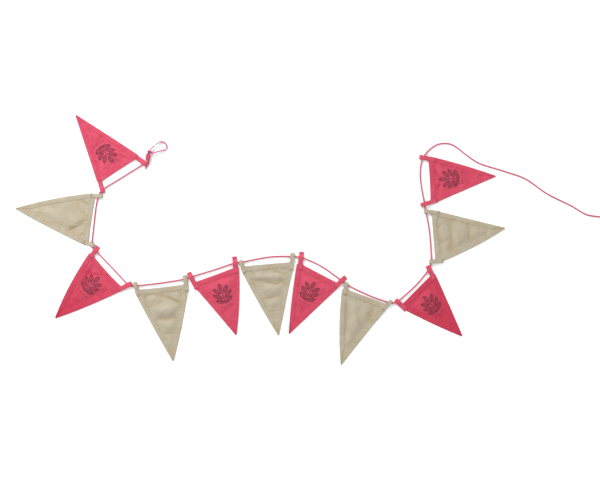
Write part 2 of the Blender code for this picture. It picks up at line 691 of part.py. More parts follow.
def main():
    clear_scene()
    parts = collection("fabric_bunting")
    cutters = collection("cutters")
    looks = make_materials()
    for pennant in PENNANTS:
        number = pennant.name[-2:]
        tabs = [tab for tab in TABS if tab.name[4:6] == number]
        make_pennant(pennant, tabs, parts, looks[pennant.cloth])
    for tab in TABS:
        make_tab(tab, parts, looks[tab.cloth])
    tube("cord", cord_points(), CORD_RADIUS, parts, looks["cord"])
    make_turned_knot("hook_knot", KNOT_LENGTH, KNOT_WIDTH, KNOT_HEIGHT, KNOT_TURNS,
                     (*KNOT_CENTRE, KNOT_HEIGHT / 2 + 0.05), KNOT_HEADING, parts, looks["cord"])
    make_hook(parts, cutters, looks)
    make_bight(parts, looks["cord"])
    make_stub(parts, looks["cord"])
    make_tail_end(parts, looks["cord"])


main()
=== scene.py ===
"""Fabric bunting, dressed: hemmed cloth, folded tabs, braided cord and a small snap hook.

Tables are in millimetres, seen from above, X to the right and Y up the page. The model
itself is in metres, with the surface that the bunting lies on at z = 0.
"""

import math
from collections import namedtuple

import bmesh
import bpy
from bpy.props import FloatProperty, FloatVectorProperty, PointerProperty
from mathutils import Euler, Matrix, Vector, noise


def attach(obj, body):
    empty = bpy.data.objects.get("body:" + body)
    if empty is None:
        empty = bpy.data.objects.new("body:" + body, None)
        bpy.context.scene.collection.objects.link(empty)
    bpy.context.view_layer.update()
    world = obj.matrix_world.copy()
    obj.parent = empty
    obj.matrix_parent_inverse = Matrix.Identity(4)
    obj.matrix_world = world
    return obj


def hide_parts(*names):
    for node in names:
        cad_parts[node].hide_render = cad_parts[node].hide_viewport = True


bl_info = {
    "name": "Fabric bunting",
    "version": (1, 0, 0),
    "blender": (4, 5, 0),
    "location": "View3D > Sidebar > Bunting",
    "description": "Builds a laid-out fabric bunting with its cord and snap hook",
    "category": "Object",
}

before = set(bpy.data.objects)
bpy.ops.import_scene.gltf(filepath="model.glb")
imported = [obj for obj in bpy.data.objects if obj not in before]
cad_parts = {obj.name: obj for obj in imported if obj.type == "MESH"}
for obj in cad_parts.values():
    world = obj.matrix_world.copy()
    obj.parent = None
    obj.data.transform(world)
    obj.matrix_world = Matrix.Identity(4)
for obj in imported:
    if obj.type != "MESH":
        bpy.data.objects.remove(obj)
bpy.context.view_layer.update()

MM = 0.001
GAP = 0.3
BODY = "bunting"

# Cloth
HEM_WIDTH = 15.0
HEM_THICKNESS = 2.0
FIELD_THICKNESS = 1.2
TIP_WIDTH = 3.6
TAB_THICKNESS = 0.9
HEM_ROUNDING = 1.3
CORNER_ROUNDING = 9.0
HEM_STEP = (14.4, 16.2)
SEAM_LINE = 15.1
STITCH_LINE = 12.3
STITCH_DENT = 0.4
STITCH_DENT_REACH = 0.8
CORNER_LIFT_RUN = (20.0, 48.0)

# Rows and columns of a pennant's points
FIELD_COLUMNS = 56
ROW_SPACING = 2.3
LAST_FIELD_ROW = 6.0
TIP_ROWS = (4.0, 2.0, 0.9, 0.3, 0.0)

# Folds, waves and gathers. A fold's shape and its painted tone, shade in a hollow and highlight
# on a ridge, fade towards its ends, each as the part of a half turn that its run gives.
FIELD_PUFF = 1.7
HEM_FALL = 26.0
FOLD_GAIN = 0.65
FOLD_NARROWING = 0.94
FOLD_SHAPE_RUN = (0.22, 0.78)
FOLD_TONE_RUN = (0.12, 0.88)
DEEPEST_FOLD = 5.0
HOLLOW_NARROWING = 0.42
WAVE_HEIGHT = {"pink": 1.1, "beige": 1.6}
WAVE_SIZE = 32.0
RIPPLE_HEIGHT = 0.5
RIPPLE_SIZE = 14.0
RIM_WAVE_HEIGHT = 0.9
RIM_WAVE_SIZE = 40.0
PUCKER_SIZE = 7.5
PUCKER_LINE = 14.0
PUCKER_REACH = 7.0
NOISE_LAYER = 7.3

# In the looks, with lengths in metres and a cloud's scale in waves to the metre
STITCH_GAP = (0.0006, 0.0008)
TAPE_EDGE = 0.0016
GATHER_LINE = 0.0146
GATHER_FADE = (0.0008, 0.0052)
PUCKER_WAVE = 0.0085
SLUB_SCALE = 900.0
MOTTLE_SCALE = 28.0
UNEVEN_SCALE = 70.0
RUMPLE_SCALE = 85.0
DRIFT_SCALE = 45.0
FIBRE_SCALE = 600.0
GRAIN_SCALE = 2500.0
CLOTH_RELIEF = 0.0003
BRAID_RELIEF = 0.00025

# Distances from the rim where the hem's rows and columns of points lie
HEM_BAND = (0.0, 0.3, 0.9, 1.8, 4.0, 7.0, 9.8, 11.3, 12.3, 13.3, 14.3, 15.2, 16.2, 17.6, 19.6)

# A tab's side view, measured back from its free end or from where the cord crosses
LONG_TAB_REACH = 11.5
LOOP_CLEARANCE = 0.4
LOOP_EASE = 0.6
LOOP_FRONT = 3.2
LOOP_FOOT = 8.3
LOOP_BACK = 5.5
CLOTH_REACH = 17.0
END_ROUNDING = 1.0
END_RUN = 3.0

# Across a tab: place from edge to edge, and share of the full thickness
TAB_SECTION = (
    (-1.0, 0.35), (-0.97, 0.75), (-0.9, 1.0), (-0.6, 1.0), (-0.3, 1.0), (0.0, 1.0),
    (0.3, 1.0), (0.6, 1.0), (0.9, 1.0), (0.97, 0.75), (1.0, 0.35),
)
BAR_FROM_ROOT = 3.4
BAR_STITCH = 2.2
BAR_SPACING = 0.85
BAR_THREAD = 0.42
BAR_MARGIN = 0.8
BAR_LEAN = 0.35
TAB_STEP = 1.3
EDGE_WANDER = 0.35
WANDER_SIZE = 9.0

# A stitch's rings: place along it, share of the thread's radius, and rise over the cloth
STITCH_RINGS = (
    (0.0, 0.3, -0.25), (0.15, 0.85, 0.0), (0.5, 1.0, 0.12), (0.85, 0.85, 0.0), (1.0, 0.3, -0.25),
)
STITCH_SIDES = 6

# Cord
CORD_DIAMETER = 4.0
CORD_RADIUS = CORD_DIAMETER / 2
CORD_ON_FLOOR = CORD_RADIUS + 0.1
CORD_IN_TAB = TAB_THICKNESS + LOOP_CLEARANCE + CORD_RADIUS
TAB_RISE_FLAT = 10.0
TAB_RISE_END = 30.0
CORD_STEP = 2.0
CORD_SIDES = 14
KNOT_STEP = 0.8
STRANDS = 8

# Knot at the snap hook, stopper knot on the tail
KNOT_LENGTH = 24.5
KNOT_WIDTH = 15.0
KNOT_HEIGHT = 11.0
KNOT_TURNS = 5
KNOT_CENTRE = (-336.9, 245.5)
KNOT_HEADING = (0.12, 0.99)
STOPPER_LENGTH = 13.0
STOPPER_WIDTH = 12.0
STOPPER_TURNS = 2
KNOT_OVER_FLOOR = 0.05
WRAP_STEPS = 28
WRAP_START = 0.6
WRAP_NARROWEST = 0.86
CORE_REACH = 0.94
CORE_STEPS = 12
TAIL_TIP_LENGTH = 17.0
TAIL_OVERLAP = 1.5
TAIL_STEPS = 15
BIGHT_AT = (-3.9, 8.2)
BIGHT_HEADING = (0.95, -0.31)
BIGHT_EASE = 0.2
BIGHT_STEPS = 28
BIGHT_SWEEP = 140.0

# Snap hook
HOOK_ROD = 4.2
HOOK_PLACE = (-325.5, 257.0)
HOOK_TURN = 16.4
HOOK_SMALL_END_X = -4.7
HOOK_WIDE_END_X = 49.5
HOOK_RISE = CORD_DIAMETER + 2 * GAP
GATE_ROD = 3.4
GATE_PIVOT = (6.8, 16.7)
GATE_NOSE = (27.8, 25.3)
GATE_TONGUE = 1.1
GATE_ROOT_PAST_PIN = 1.9
GATE_TIP_PAST_NOSE = 0.9
ROOT_TONGUE = 7.6
TIP_TONGUE = 8.2
FORK_SLOT = GATE_TONGUE + 2 * GAP
ROOT_SLOT = 7.6
NOSE_SLOT = 6.4
NOSE_SLOT_SHIFT = 1.3
CUTTER_REACH = 9.0
PIN_DIAMETER = 1.2
PIN_HEAD = 2.1
HEAD_THICKNESS = 0.35
BODY_EDGE = 0.25
GATE_EDGE = 0.15
PIN_EDGE = 0.12
PIN_PAST_ROD = 0.1
PIN_SIDES = 20

# Camera, light and floor: the view in millimetres, the key light and the floor in metres
VIEW_CENTRE = (118.65, -2.4)
VIEW_WIDTH = 1.8
SENSOR = 36.0
KEY_FROM = (-2.3, 3.0, 2.1)
KEY_SIZE = 1.3
FLOOR_SIZE = 14.0
FLOOR_DROP = 0.0002

Pennant = namedtuple("Pennant", "name cloth first second tip base_bow first_bow second_bow")
Tab = namedtuple("Tab", "name cloth root end width past_cord")
Fold = namedtuple("Fold", "start end height reach")
Tone = namedtuple("Tone", "base tip")
Leaf = namedtuple("Leaf", "x y turn length width")

# Corners in order along the cord, and how far each edge bows out of the straight
PENNANTS = (
    Pennant("pennant_01", "pink", (-361, 249), (-488, 166), (-554, 372), 0, 1, 0),
    Pennant("pennant_02", "beige", (-495, 139), (-518, -21), (-734, 92), 0, 6, 3),
    Pennant("pennant_03", "pink", (-510, -37), (-408, -150), (-615, -236), -4, 7, 4),
    Pennant("pennant_04", "beige", (-381, -152), (-215, -133), (-262, -365), -2, 2, 4),
    Pennant("pennant_05", "pink", (-207, -132), (-65, -80), (-73, -287), -1, 0, 5),
    Pennant("pennant_06", "beige", (-63, -83), (101, -68), (54, -288), 1, 3, 0),
    Pennant("pennant_07", "pink", (110, -68), (242, -137), (86, -283), 0, 3, 0),
    Pennant("pennant_08", "beige", (245, -145), (387, -198), (242, -376), 0, 6, -1),
    Pennant("pennant_09", "pink", (417, -203), (521, -98), (604, -290), 0, 3, 1),
    Pennant("pennant_10", "beige", (525, -73), (512, 89), (733, 33), 0, 7, 0),
    Pennant("pennant_11", "pink", (510, 103), (502, 250), (705, 189), -2, 0, 3),
)

# Each tab from its sewn root on the cloth to its free end, with its reach past the cord
TABS = (
    Tab("tab_01_a", "pink", (-374.0, 247.2), (-341.5, 224.0), 14.0, 6.8),
    Tab("tab_01_b", "pink", (-483, 178), (-472, 139), 13.0, 8.2),
    Tab("tab_02_a", "beige", (-511, 131), (-474, 130), 12.0, 10.5),
    Tab("tab_02_b", "beige", (-531, -6), (-497, -19.4), 11.5, 7.4),
    Tab("tab_03_a", "pink", (-511, -56), (-486, -22), 13.5, 13.6),
    Tab("tab_03_b", "pink", (-427, -153), (-386, -132), 14.0, 8.9),
    Tab("tab_04_a", "beige", (-366, -170), (-377, -128), 10.5, 11.0),
    Tab("tab_04_b", "beige", (-221, -157), (-227, -108), 12.0, 10.8),
    Tab("tab_05_a", "pink", (-190, -150), (-215, -100), 13.5, 15.0),
    Tab("tab_05_b", "pink", (-73, -103), (-78, -52), 14.0, 19.1),
    Tab("tab_06_a", "beige", (-48, -104), (-60, -63), 10.5, 6.1),
    Tab("tab_06_b", "beige", (92, -94), (96, -41), 12.0, 10.9),
    Tab("tab_07_a", "pink", (117, -92), (124, -38), 14.0, 16.3),
    Tab("tab_07_b", "pink", (222, -145), (256, -113), 14.0, 16.1),
    Tab("tab_08_a", "beige", (252, -167), (258, -129), 11.5, 5.5),
    Tab("tab_08_b", "beige", (366, -213), (393, -184), 11.5, 8.7),
    Tab("tab_09_a", "pink", (437, -212), (405, -182), 14.0, 6.6),
    Tab("tab_09_b", "pink", (522, -122), (501, -80), 13.5, 9.4),
    Tab("tab_10_a", "beige", (548, -65), (506, -68), 11.5, 5.7),
    Tab("tab_10_b", "beige", (536, 79), (490, 84), 11.5, 6.3),
    Tab("tab_11_a", "pink", (531, 117), (481, 102), 12.5, 10.9),
    Tab("tab_11_b", "pink", (525, 237), (477, 247), 13.0, 11.1),
)

# Folds in the cloth: across and along at both ends of each, then its height and its reach
# to either side. Across runs 0 to 1 from the first corner's side to the second's, along
# runs 0 to 1 from the base to the tip. A height below 0 is a trough.
FOLDS = {
    "pennant_01": (
        (0.10, 0.30, 0.85, 0.10, 2.5, 22), (0.15, 0.55, 0.90, 0.42, -2.0, 14),
    ),
    "pennant_02": (
        (0.91, 0.30, 0.56, 0.06, -4.5, 8), (0.90, 0.13, 0.71, 0.03, -3.0, 7),
        (0.35, 0.15, 0.46, 0.05, -2.5, 7), (0.07, 0.20, 0.22, 0.07, -2.5, 7),
        (0.73, 0.24, 0.66, 0.05, 2.5, 8), (0.36, 0.58, 0.84, 0.40, 2.5, 26),
    ),
    "pennant_03": (
        (0.20, 0.04, 0.30, 0.42, -4.0, 13), (0.05, 0.14, 0.10, 0.42, 3.5, 15),
        (0.52, 0.10, 0.60, 0.50, 2.5, 20),
    ),
    "pennant_04": (
        (0.05, 0.13, 0.26, 0.08, -3.0, 8), (0.26, 0.08, 0.51, 0.11, -3.0, 8),
        (0.51, 0.11, 0.96, 0.26, -5.0, 9), (0.12, 0.30, 0.90, 0.31, 5.0, 16),
        (0.09, 0.42, 0.94, 0.43, -4.0, 9), (0.13, 0.50, 0.87, 0.54, 3.0, 11),
        (0.20, 0.61, 0.86, 0.64, -3.0, 8), (0.07, 0.69, 0.78, 0.73, 2.0, 10),
    ),
    "pennant_05": (
        (0.20, 0.22, 0.80, 0.14, 2.5, 22), (0.10, 0.60, 0.90, 0.52, -2.0, 14),
    ),
    "pennant_06": (
        (0.12, 0.19, 0.37, 0.23, -3.5, 8), (0.37, 0.23, 0.68, 0.28, -5.0, 8),
        (0.68, 0.28, 0.94, 0.22, -4.0, 8), (0.58, 0.09, 0.90, 0.17, -3.5, 7),
        (0.36, 0.16, 0.84, 0.19, 3.0, 10), (0.15, 0.33, 0.81, 0.35, 3.5, 13),
        (0.14, 0.48, 0.73, 0.45, -3.5, 8), (0.05, 0.55, 0.78, 0.55, 2.5, 10),
        (0.22, 0.65, 0.74, 0.66, -2.5, 7),
    ),
    "pennant_07": (
        (0.15, 0.20, 0.80, 0.16, 2.5, 24), (0.20, 0.62, 0.85, 0.50, -2.0, 14),
    ),
    "pennant_08": (
        (0.13, 0.12, 0.28, 0.59, -3.0, 8), (0.28, 0.10, 0.59, 0.45, 4.0, 15),
        (0.72, 0.06, 0.82, 0.30, -3.5, 12), (0.42, 0.04, 0.86, 0.33, 1.5, 7),
        (0.11, 0.09, 0.23, 0.01, -3.0, 7),
    ),
    "pennant_09": (
        (0.20, 0.20, 0.80, 0.24, 2.5, 24), (0.15, 0.55, 0.85, 0.58, -2.0, 14),
    ),
    "pennant_10": (
        (0.76, 0.25, 0.13, 0.23, -3.5, 9), (0.88, 0.50, 0.23, 0.49, -3.0, 9),
        (0.82, 0.65, 0.27, 0.62, -2.0, 8), (0.84, 0.37, 0.13, 0.37, 3.0, 13),
        (0.78, 0.12, 0.41, 0.10, 3.0, 10), (0.35, 0.04, 0.39, 0.17, -2.5, 7),
        (0.81, 0.03, 0.91, 0.12, -2.5, 7), (0.29, 0.10, 0.08, 0.11, -2.0, 7),
    ),
    "pennant_11": (
        (0.15, 0.10, 0.60, 0.18, -3.0, 12), (0.10, 0.28, 0.85, 0.16, 3.0, 18),
        (0.15, 0.60, 0.85, 0.52, -2.0, 14),
    ),
}

# Finer creases than the folds of the solids, with the same columns. They are only painted shade,
# painted highlight and bump, not in the cloth's shape
CREASES = {
    "pennant_01": (
        (0.38, 0.29, 0.15, 0.00, -3, 7), (0.45, 0.16, 0.26, 0.00, -2.5, 6),
        (0.66, 0.11, 0.33, 0.04, 2.5, 8), (0.25, 0.77, 0.58, 0.57, -2, 7),
    ),
    "pennant_02": (
        (0.13, 0.16, 0.24, 0.06, -3, 6), (0.65, 0.19, 0.50, 0.05, -3.5, 6),
        (0.81, 0.08, 0.67, 0.04, -3.5, 5),
    ),
    "pennant_03": (
        (0.06, 0.28, 0.51, 0.09, -4.5, 8), (0.04, 0.05, 0.23, 0.05, -3.5, 6),
        (0.12, 0.16, 0.54, 0.00, 3, 8), (0.00, 0.69, 0.87, 0.56, -3, 8),
    ),
    "pennant_04": (
        (0.16, 0.03, 0.13, 0.19, -3, 7), (0.77, 0.04, 0.95, 0.16, -3, 6),
    ),
    "pennant_05": (
        (0.10, 0.00, 0.69, 0.00, -2.5, 7), (0.12, 0.20, 0.44, 0.41, -2, 8),
        (0.71, 0.00, 0.82, 0.11, -3, 6),
    ),
    "pennant_06": (
        (0.15, 0.07, 0.23, 0.15, -3, 6), (0.77, 0.10, 0.94, 0.08, -2.5, 6),
    ),
    "pennant_07": (
        (0.12, 0.05, 0.53, 0.08, -2.5, 8), (0.50, 0.24, 0.63, 0.08, -3, 7),
        (0.26, 0.49, 0.84, 0.65, -2, 7),
    ),
    "pennant_08": (
        (0.25, 0.14, 0.54, 0.00, -2, 6), (0.42, 0.24, 0.78, 0.45, -2, 7),
    ),
    "pennant_09": (
        (0.22, 0.02, 0.61, 0.09, -3, 8), (0.76, 0.07, 0.71, 0.26, -3, 7),
        (0.43, 0.46, 0.39, 0.68, -3, 9), (0.18, 0.15, 0.33, 0.41, 2.5, 9),
    ),
    "pennant_10": (
        (0.62, 0.04, 0.79, 0.16, -3, 6), (0.23, 0.05, 0.49, 0.11, -3, 6),
        (0.60, 0.36, 0.14, 0.36, -2.5, 6),
    ),
    "pennant_11": (
        (0.81, 0.06, 0.49, 0.15, -4, 7), (0.91, 0.18, 0.70, 0.23, -3, 6),
        (0.29, 0.05, 0.39, 0.18, -3.5, 7), (0.74, 0.44, 0.53, 0.68, -2.5, 8),
    ),
}

# Shares of the cloth's red, green and blue: painted shade, in a fold's hollow and along seams,
# gathers, rumples and the stitch row; where it is dull; where it is fresh, which is also the
# painted highlight on a fold's ridge; and painted shade where a pink pennant lies turned away
# from the light
PAINTED_SHADE = {"pink": (0.72, 0.42, 0.49), "beige": (0.80, 0.66, 0.50)}
DULL = {"pink": (0.95, 0.86, 0.88), "beige": (0.95, 0.91, 0.84)}
FRESH_AND_HIGHLIGHT = {"pink": (1.06, 1.16, 1.12), "beige": (1.05, 1.08, 1.14)}
TURNED = (0.76, 0.36, 0.44)

# How much painted shade darkens the cloth in its gathers and rumples, and how deep rumples look
PUCKER_SHADE = {"pink": 0.35, "beige": 0.9}
RUMPLE_SHADE = {"pink": 0.30, "beige": 0.08}
RUMPLE_RELIEF = {"pink": 1.5, "beige": 0.8}

# How much painted shade, where it lies turned away from the light, deepens a pennant's colour at
# its base and at its tip
TURNED_SHADES = {
    "pennant_03": Tone(0.15, 0.8), "pennant_05": Tone(0.0, 0.15), "pennant_07": Tone(0.05, 0.25),
    "pennant_09": Tone(0.55, 0.75), "pennant_11": Tone(0.15, 0.05),
}

# The cord seen from above, from the knot at the hook to the stopper knot on the tail
CORD_ROUTE = (
    (-341.1, 231.8), (-347.3, 227.6), (-412, 187), (-474, 148), (-481, 140), (-486, 129),
    (-492, 103), (-501, 28), (-505, -10), (-505, -22), (-494.5, -33.5), (-436, -95),
    (-397, -135.5), (-388.5, -141.2), (-376, -140), (-304, -132), (-226, -119),
    (-208, -113), (-139, -92), (-75, -71), (-59, -69),
    (30, -53), (95, -52), (122, -55), (182, -81), (244, -125), (257, -135),
    (329, -170), (387, -190), (396, -192), (404, -190.5), (411, -186.5), (470, -134),
    (505.5, -89), (509.5, -81), (511.8, -68), (507, 20), (496, 83), (492, 105),
    (479, 195), (488, 245), (519, 278),
    (544, 287), (573, 284), (622, 249), (653, 229), (730, 204), (792, 182),
    (860, 136), (932, 100), (978, 74), (1019, 67), (1056, 62),
)

# The hook's rod from its nose round the wide end, back along the spine to the pivot
HOOK_ROUTE = (
    (27.0, 25.0), (30.5, 26.2), (35.5, 26.3), (41.0, 24.3), (46.0, 19.8), (49.0, 13.5),
    (49.2, 7.5), (46.8, 2.6), (42.0, 0.2), (34.0, 0.0), (22.0, 0.0), (10.0, 0.0),
    (2.0, 0.0), (-2.6, 1.4), (-4.7, 5.0), (-3.6, 9.4), (0.4, 12.9), (7.6, 17.0),
)

# Where the bight's two legs leave the knot, above and below, with heights
BIGHT_TOP = ((-336.0, 256.6, 7.2), (-335.7, 258.9, 7.8), (-336.4, 262.4, 9.4))
BIGHT_UNDER = ((-336.4, 262.4, 2.1), (-335.7, 258.9, 2.8), (-336.0, 256.6, 3.6))

# The cord's cut end, from the knot to its tip on the surface, with heights
STUB_ROUTE = (
    (-335.4, 234.0, 3.8), (-335.1, 232.1, 3.3), (-334.3, 228.6, 2.5), (-337.3, 222.6, 2.1),
    (-342.0, 215.8, 2.1), (-345.4, 210.4, 2.1),
)

# The printed sprig, in millimetres from its middle, with the pennant's base at the top.
# It is the same on both sides of its stem, so only the right side's leaves are here.
MOTIF_DOWN = 66.0
MOTIF_SIZE = 1.18
MOTIF_LINE = 1.15
MOTIF_STEM = (-21.0, 14.0)
MOTIF_DOTS = -28.0
MOTIF_DOT_SPACING = 7.0
MOTIF_DOT_RADIUS = 1.5
MOTIF_DOT_REACH = 18.5
MOTIF_RIB = 0.55
LEAVES = (
    Leaf(0.0, 22.5, 90, 9.2, 4.3),
    Leaf(11.5, 14.0, 46, 10.5, 4.1),
    Leaf(13.5, 0.5, 36, 12.0, 4.4),
    Leaf(11.5, -13.0, 26, 10.5, 4.0),
)


def colour_setting(name, description, default):
    return FloatVectorProperty(
        name=name, description=description, subtype="COLOR", size=3, min=0, max=1,
        default=default)


class BuntingCloth(bpy.types.PropertyGroup):
    """Colours and threads of the pennants and their tabs."""

    pink: colour_setting("Pink cloth", "Colour of the odd pennants", (0.503, 0.063, 0.109))
    beige: colour_setting("Beige cloth", "Colour of the even pennants", (0.361, 0.318, 0.236))
    ink: colour_setting("Print", "Colour of the printed sprig", (0.075, 0.018, 0.028))
    weave: FloatProperty(
        name="Weave", description="Distance from thread to thread", unit="LENGTH",
        default=0.0008, min=0.0002, max=0.004)
    stitch: FloatProperty(
        name="Stitch", description="Length of a hem stitch with its gap", unit="LENGTH",
        default=0.0034, min=0.001, max=0.01)
    pucker: FloatProperty(
        name="Pucker", description="How far the cloth gathers along its hem seams",
        unit="LENGTH", default=0.0007, min=0, max=0.002)


class BuntingCord(bpy.types.PropertyGroup):
    """The cord's colour and braid."""

    colour: colour_setting("Cord", "Colour of the cord", (0.60, 0.09, 0.155))
    braid: FloatProperty(
        name="Braid", description="Length of cord in which a strand goes once round",
        unit="LENGTH", default=0.014, min=0.004, max=0.05)


class BuntingHook(bpy.types.PropertyGroup):
    """The snap hook's metals."""

    anodised: colour_setting("Hook", "Colour of the hook's rod", (0.55, 0.13, 0.28))
    bare: colour_setting("Gate", "Colour of the gate and its pin", (0.20, 0.20, 0.21))


class BuntingStage(bpy.types.PropertyGroup):
    """Floor, light and camera."""

    floor: colour_setting("Floor", "Colour of the floor", (0.93, 0.93, 0.93))
    sky: FloatProperty(
        name="All-round light", description="Strength of the light from all sides",
        default=1.0, min=0, max=5)
    key: FloatProperty(
        name="Key light", description="Power of the broad light from the upper left",
        unit="POWER", default=210.0, min=0, max=2000)
    camera_height: FloatProperty(
        name="Camera height", description="Height of the camera over the floor",
        unit="LENGTH", default=4.25, min=1, max=20)


class Value:
    """A node's output in a shader, for use in Python sums."""

    def __init__(self, shader, socket):
        self.shader = shader
        self.socket = socket

    def maths(self, operation, *others):
        return self.shader.maths(operation, self, *others)

    def __add__(self, other):
        return self.maths("ADD", other)

    def __radd__(self, other):
        return self.shader.maths("ADD", other, self)

    def __sub__(self, other):
        return self.maths("SUBTRACT", other)

    def __rsub__(self, other):
        return self.shader.maths("SUBTRACT", other, self)

    def __mul__(self, other):
        return self.maths("MULTIPLY", other)

    def __abs__(self):
        return self.maths("ABSOLUTE")

    def lesser(self, other):
        return self.maths("MINIMUM", other)

    def greater(self, other):
        return self.maths("MAXIMUM", other)

    def sine(self):
        return self.maths("SINE")

    def root(self):
        return self.maths("SQRT")

    def wrapped(self, high, low):
        return self.maths("WRAP", high, low)


class Shader:
    """A material's nodes, with a Principled shader at their end."""

    def __init__(self, name, **constants):
        self.material = bpy.data.materials.new(name)
        self.material.use_nodes = True
        self.tree = self.material.node_tree
        self.surface = self.tree.nodes["Principled BSDF"]
        for socket, value in constants.items():
            self.surface.inputs[socket.replace("_", " ")].default_value = value

    def add(self, kind, settings=None, sockets=None, out=0):
        node = self.tree.nodes.new(kind)
        for setting, value in (settings or {}).items():
            setattr(node, setting, value)
        for socket, value in (sockets or {}).items():
            if isinstance(value, Value):
                self.tree.links.new(value.socket, node.inputs[socket])
            else:
                node.inputs[socket].default_value = value
        return Value(self, node.outputs[out])

    def maths(self, operation, *terms):
        return self.add("ShaderNodeMath", {"operation": operation}, dict(enumerate(terms)))

    def step(self, value, low, high):
        """0 below low, 1 above high, and smooth between them."""
        return self.add(
            "ShaderNodeMapRange", {"interpolation_type": "SMOOTHSTEP"},
            {"Value": value, "From Min": low, "From Max": high})

    def mix(self, factor, first, second):
        node = self.tree.nodes.new("ShaderNodeMix")
        node.data_type = "RGBA"
        for socket, value in ((0, factor), (6, first), (7, second)):
            if isinstance(value, Value):
                self.tree.links.new(value.socket, node.inputs[socket])
            elif socket:
                node.inputs[socket].default_value = (*value, 1.0)
            else:
                node.inputs[socket].default_value = value
        return Value(self, node.outputs[2])

    def map(self, name):
        """The two coordinates of one of the mesh's own maps, and both as a vector."""
        whole = self.add("ShaderNodeUVMap", {"uv_map": name})
        parts = self.tree.nodes.new("ShaderNodeSeparateXYZ")
        self.tree.links.new(whole.socket, parts.inputs[0])
        return Value(self, parts.outputs[0]), Value(self, parts.outputs[1]), whole

    def cloud(self, where, scale, detail=3.0):
        return self.add(
            "ShaderNodeTexNoise", None, {"Vector": where, "Scale": scale, "Detail": detail})

    def feed(self, **links):
        for socket, value in links.items():
            self.tree.links.new(value.socket, self.surface.inputs[socket.replace("_", " ")])

    def relief(self, height, distance):
        bump = self.add(
            "ShaderNodeBump", None, {"Height": height, "Distance": distance, "Strength": 1.0})
        self.feed(Normal=bump)


def scaled(colour, factor):
    return tuple(channel * factor for channel in colour)


def toned(colour, shares):
    return tuple(channel * share for channel, share in zip(colour, shares))


def leaf_line(x, y, leaf):
    """Distance in metres from a leaf's outline, a pointed oval, or from its middle rib."""
    turn = math.radians(leaf.turn)
    across, up = x - leaf.x * MM, y - leaf.y * MM
    along = across * math.cos(turn) + up * math.sin(turn)
    off = abs(up * math.cos(turn) - across * math.sin(turn))
    radius = (leaf.length**2 + leaf.width**2) / (2 * leaf.width)
    rib = off.greater(abs(along) - leaf.length * MOTIF_RIB * MM)
    bowed = off + (radius - leaf.width) * MM
    return abs((along * along + bowed * bowed).root() - radius * MM).lesser(rib)


def sprig_mask(shader, x, y):
    """1 on the lines of the printed sprig, 0 off them."""
    x = abs(x) * (1 / MOTIF_SIZE)
    y = (MOTIF_DOWN * MM - y) * (1 / MOTIF_SIZE)
    low, high = (end * MM for end in MOTIF_STEM)
    line = x.greater(abs(y - (low + high) / 2) - (high - low) / 2)
    for leaf in LEAVES:
        line = line.lesser(leaf_line(x, y, leaf))
    spacing = MOTIF_DOT_SPACING * MM
    near = x.wrapped(spacing / 2, -spacing / 2)
    down = y - MOTIF_DOTS * MM
    dot = (near * near + down * down).root() - MOTIF_DOT_RADIUS * MM
    dot = dot.greater(x - MOTIF_DOT_REACH * MM)
    line = line.lesser(dot + MOTIF_LINE * MM)
    return 1 - shader.step(line, (MOTIF_LINE - 0.15) * MM, (MOTIF_LINE + 0.25) * MM)


def fibre_shader(name, roughness, gloss):
    """Dull, with the slight sheen of spun fibre."""
    return Shader(
        name, Roughness=roughness, Specular_IOR_Level=gloss, Sheen_Weight=0.03,
        Sheen_Roughness=0.5)


def woven(shader, x, y, where, spacing):
    """The threads that cross over and under, and the slubs along them."""
    turn = math.tau / spacing
    return (x * turn).sine() * (y * turn).sine(), shader.cloud(where, SLUB_SCALE)


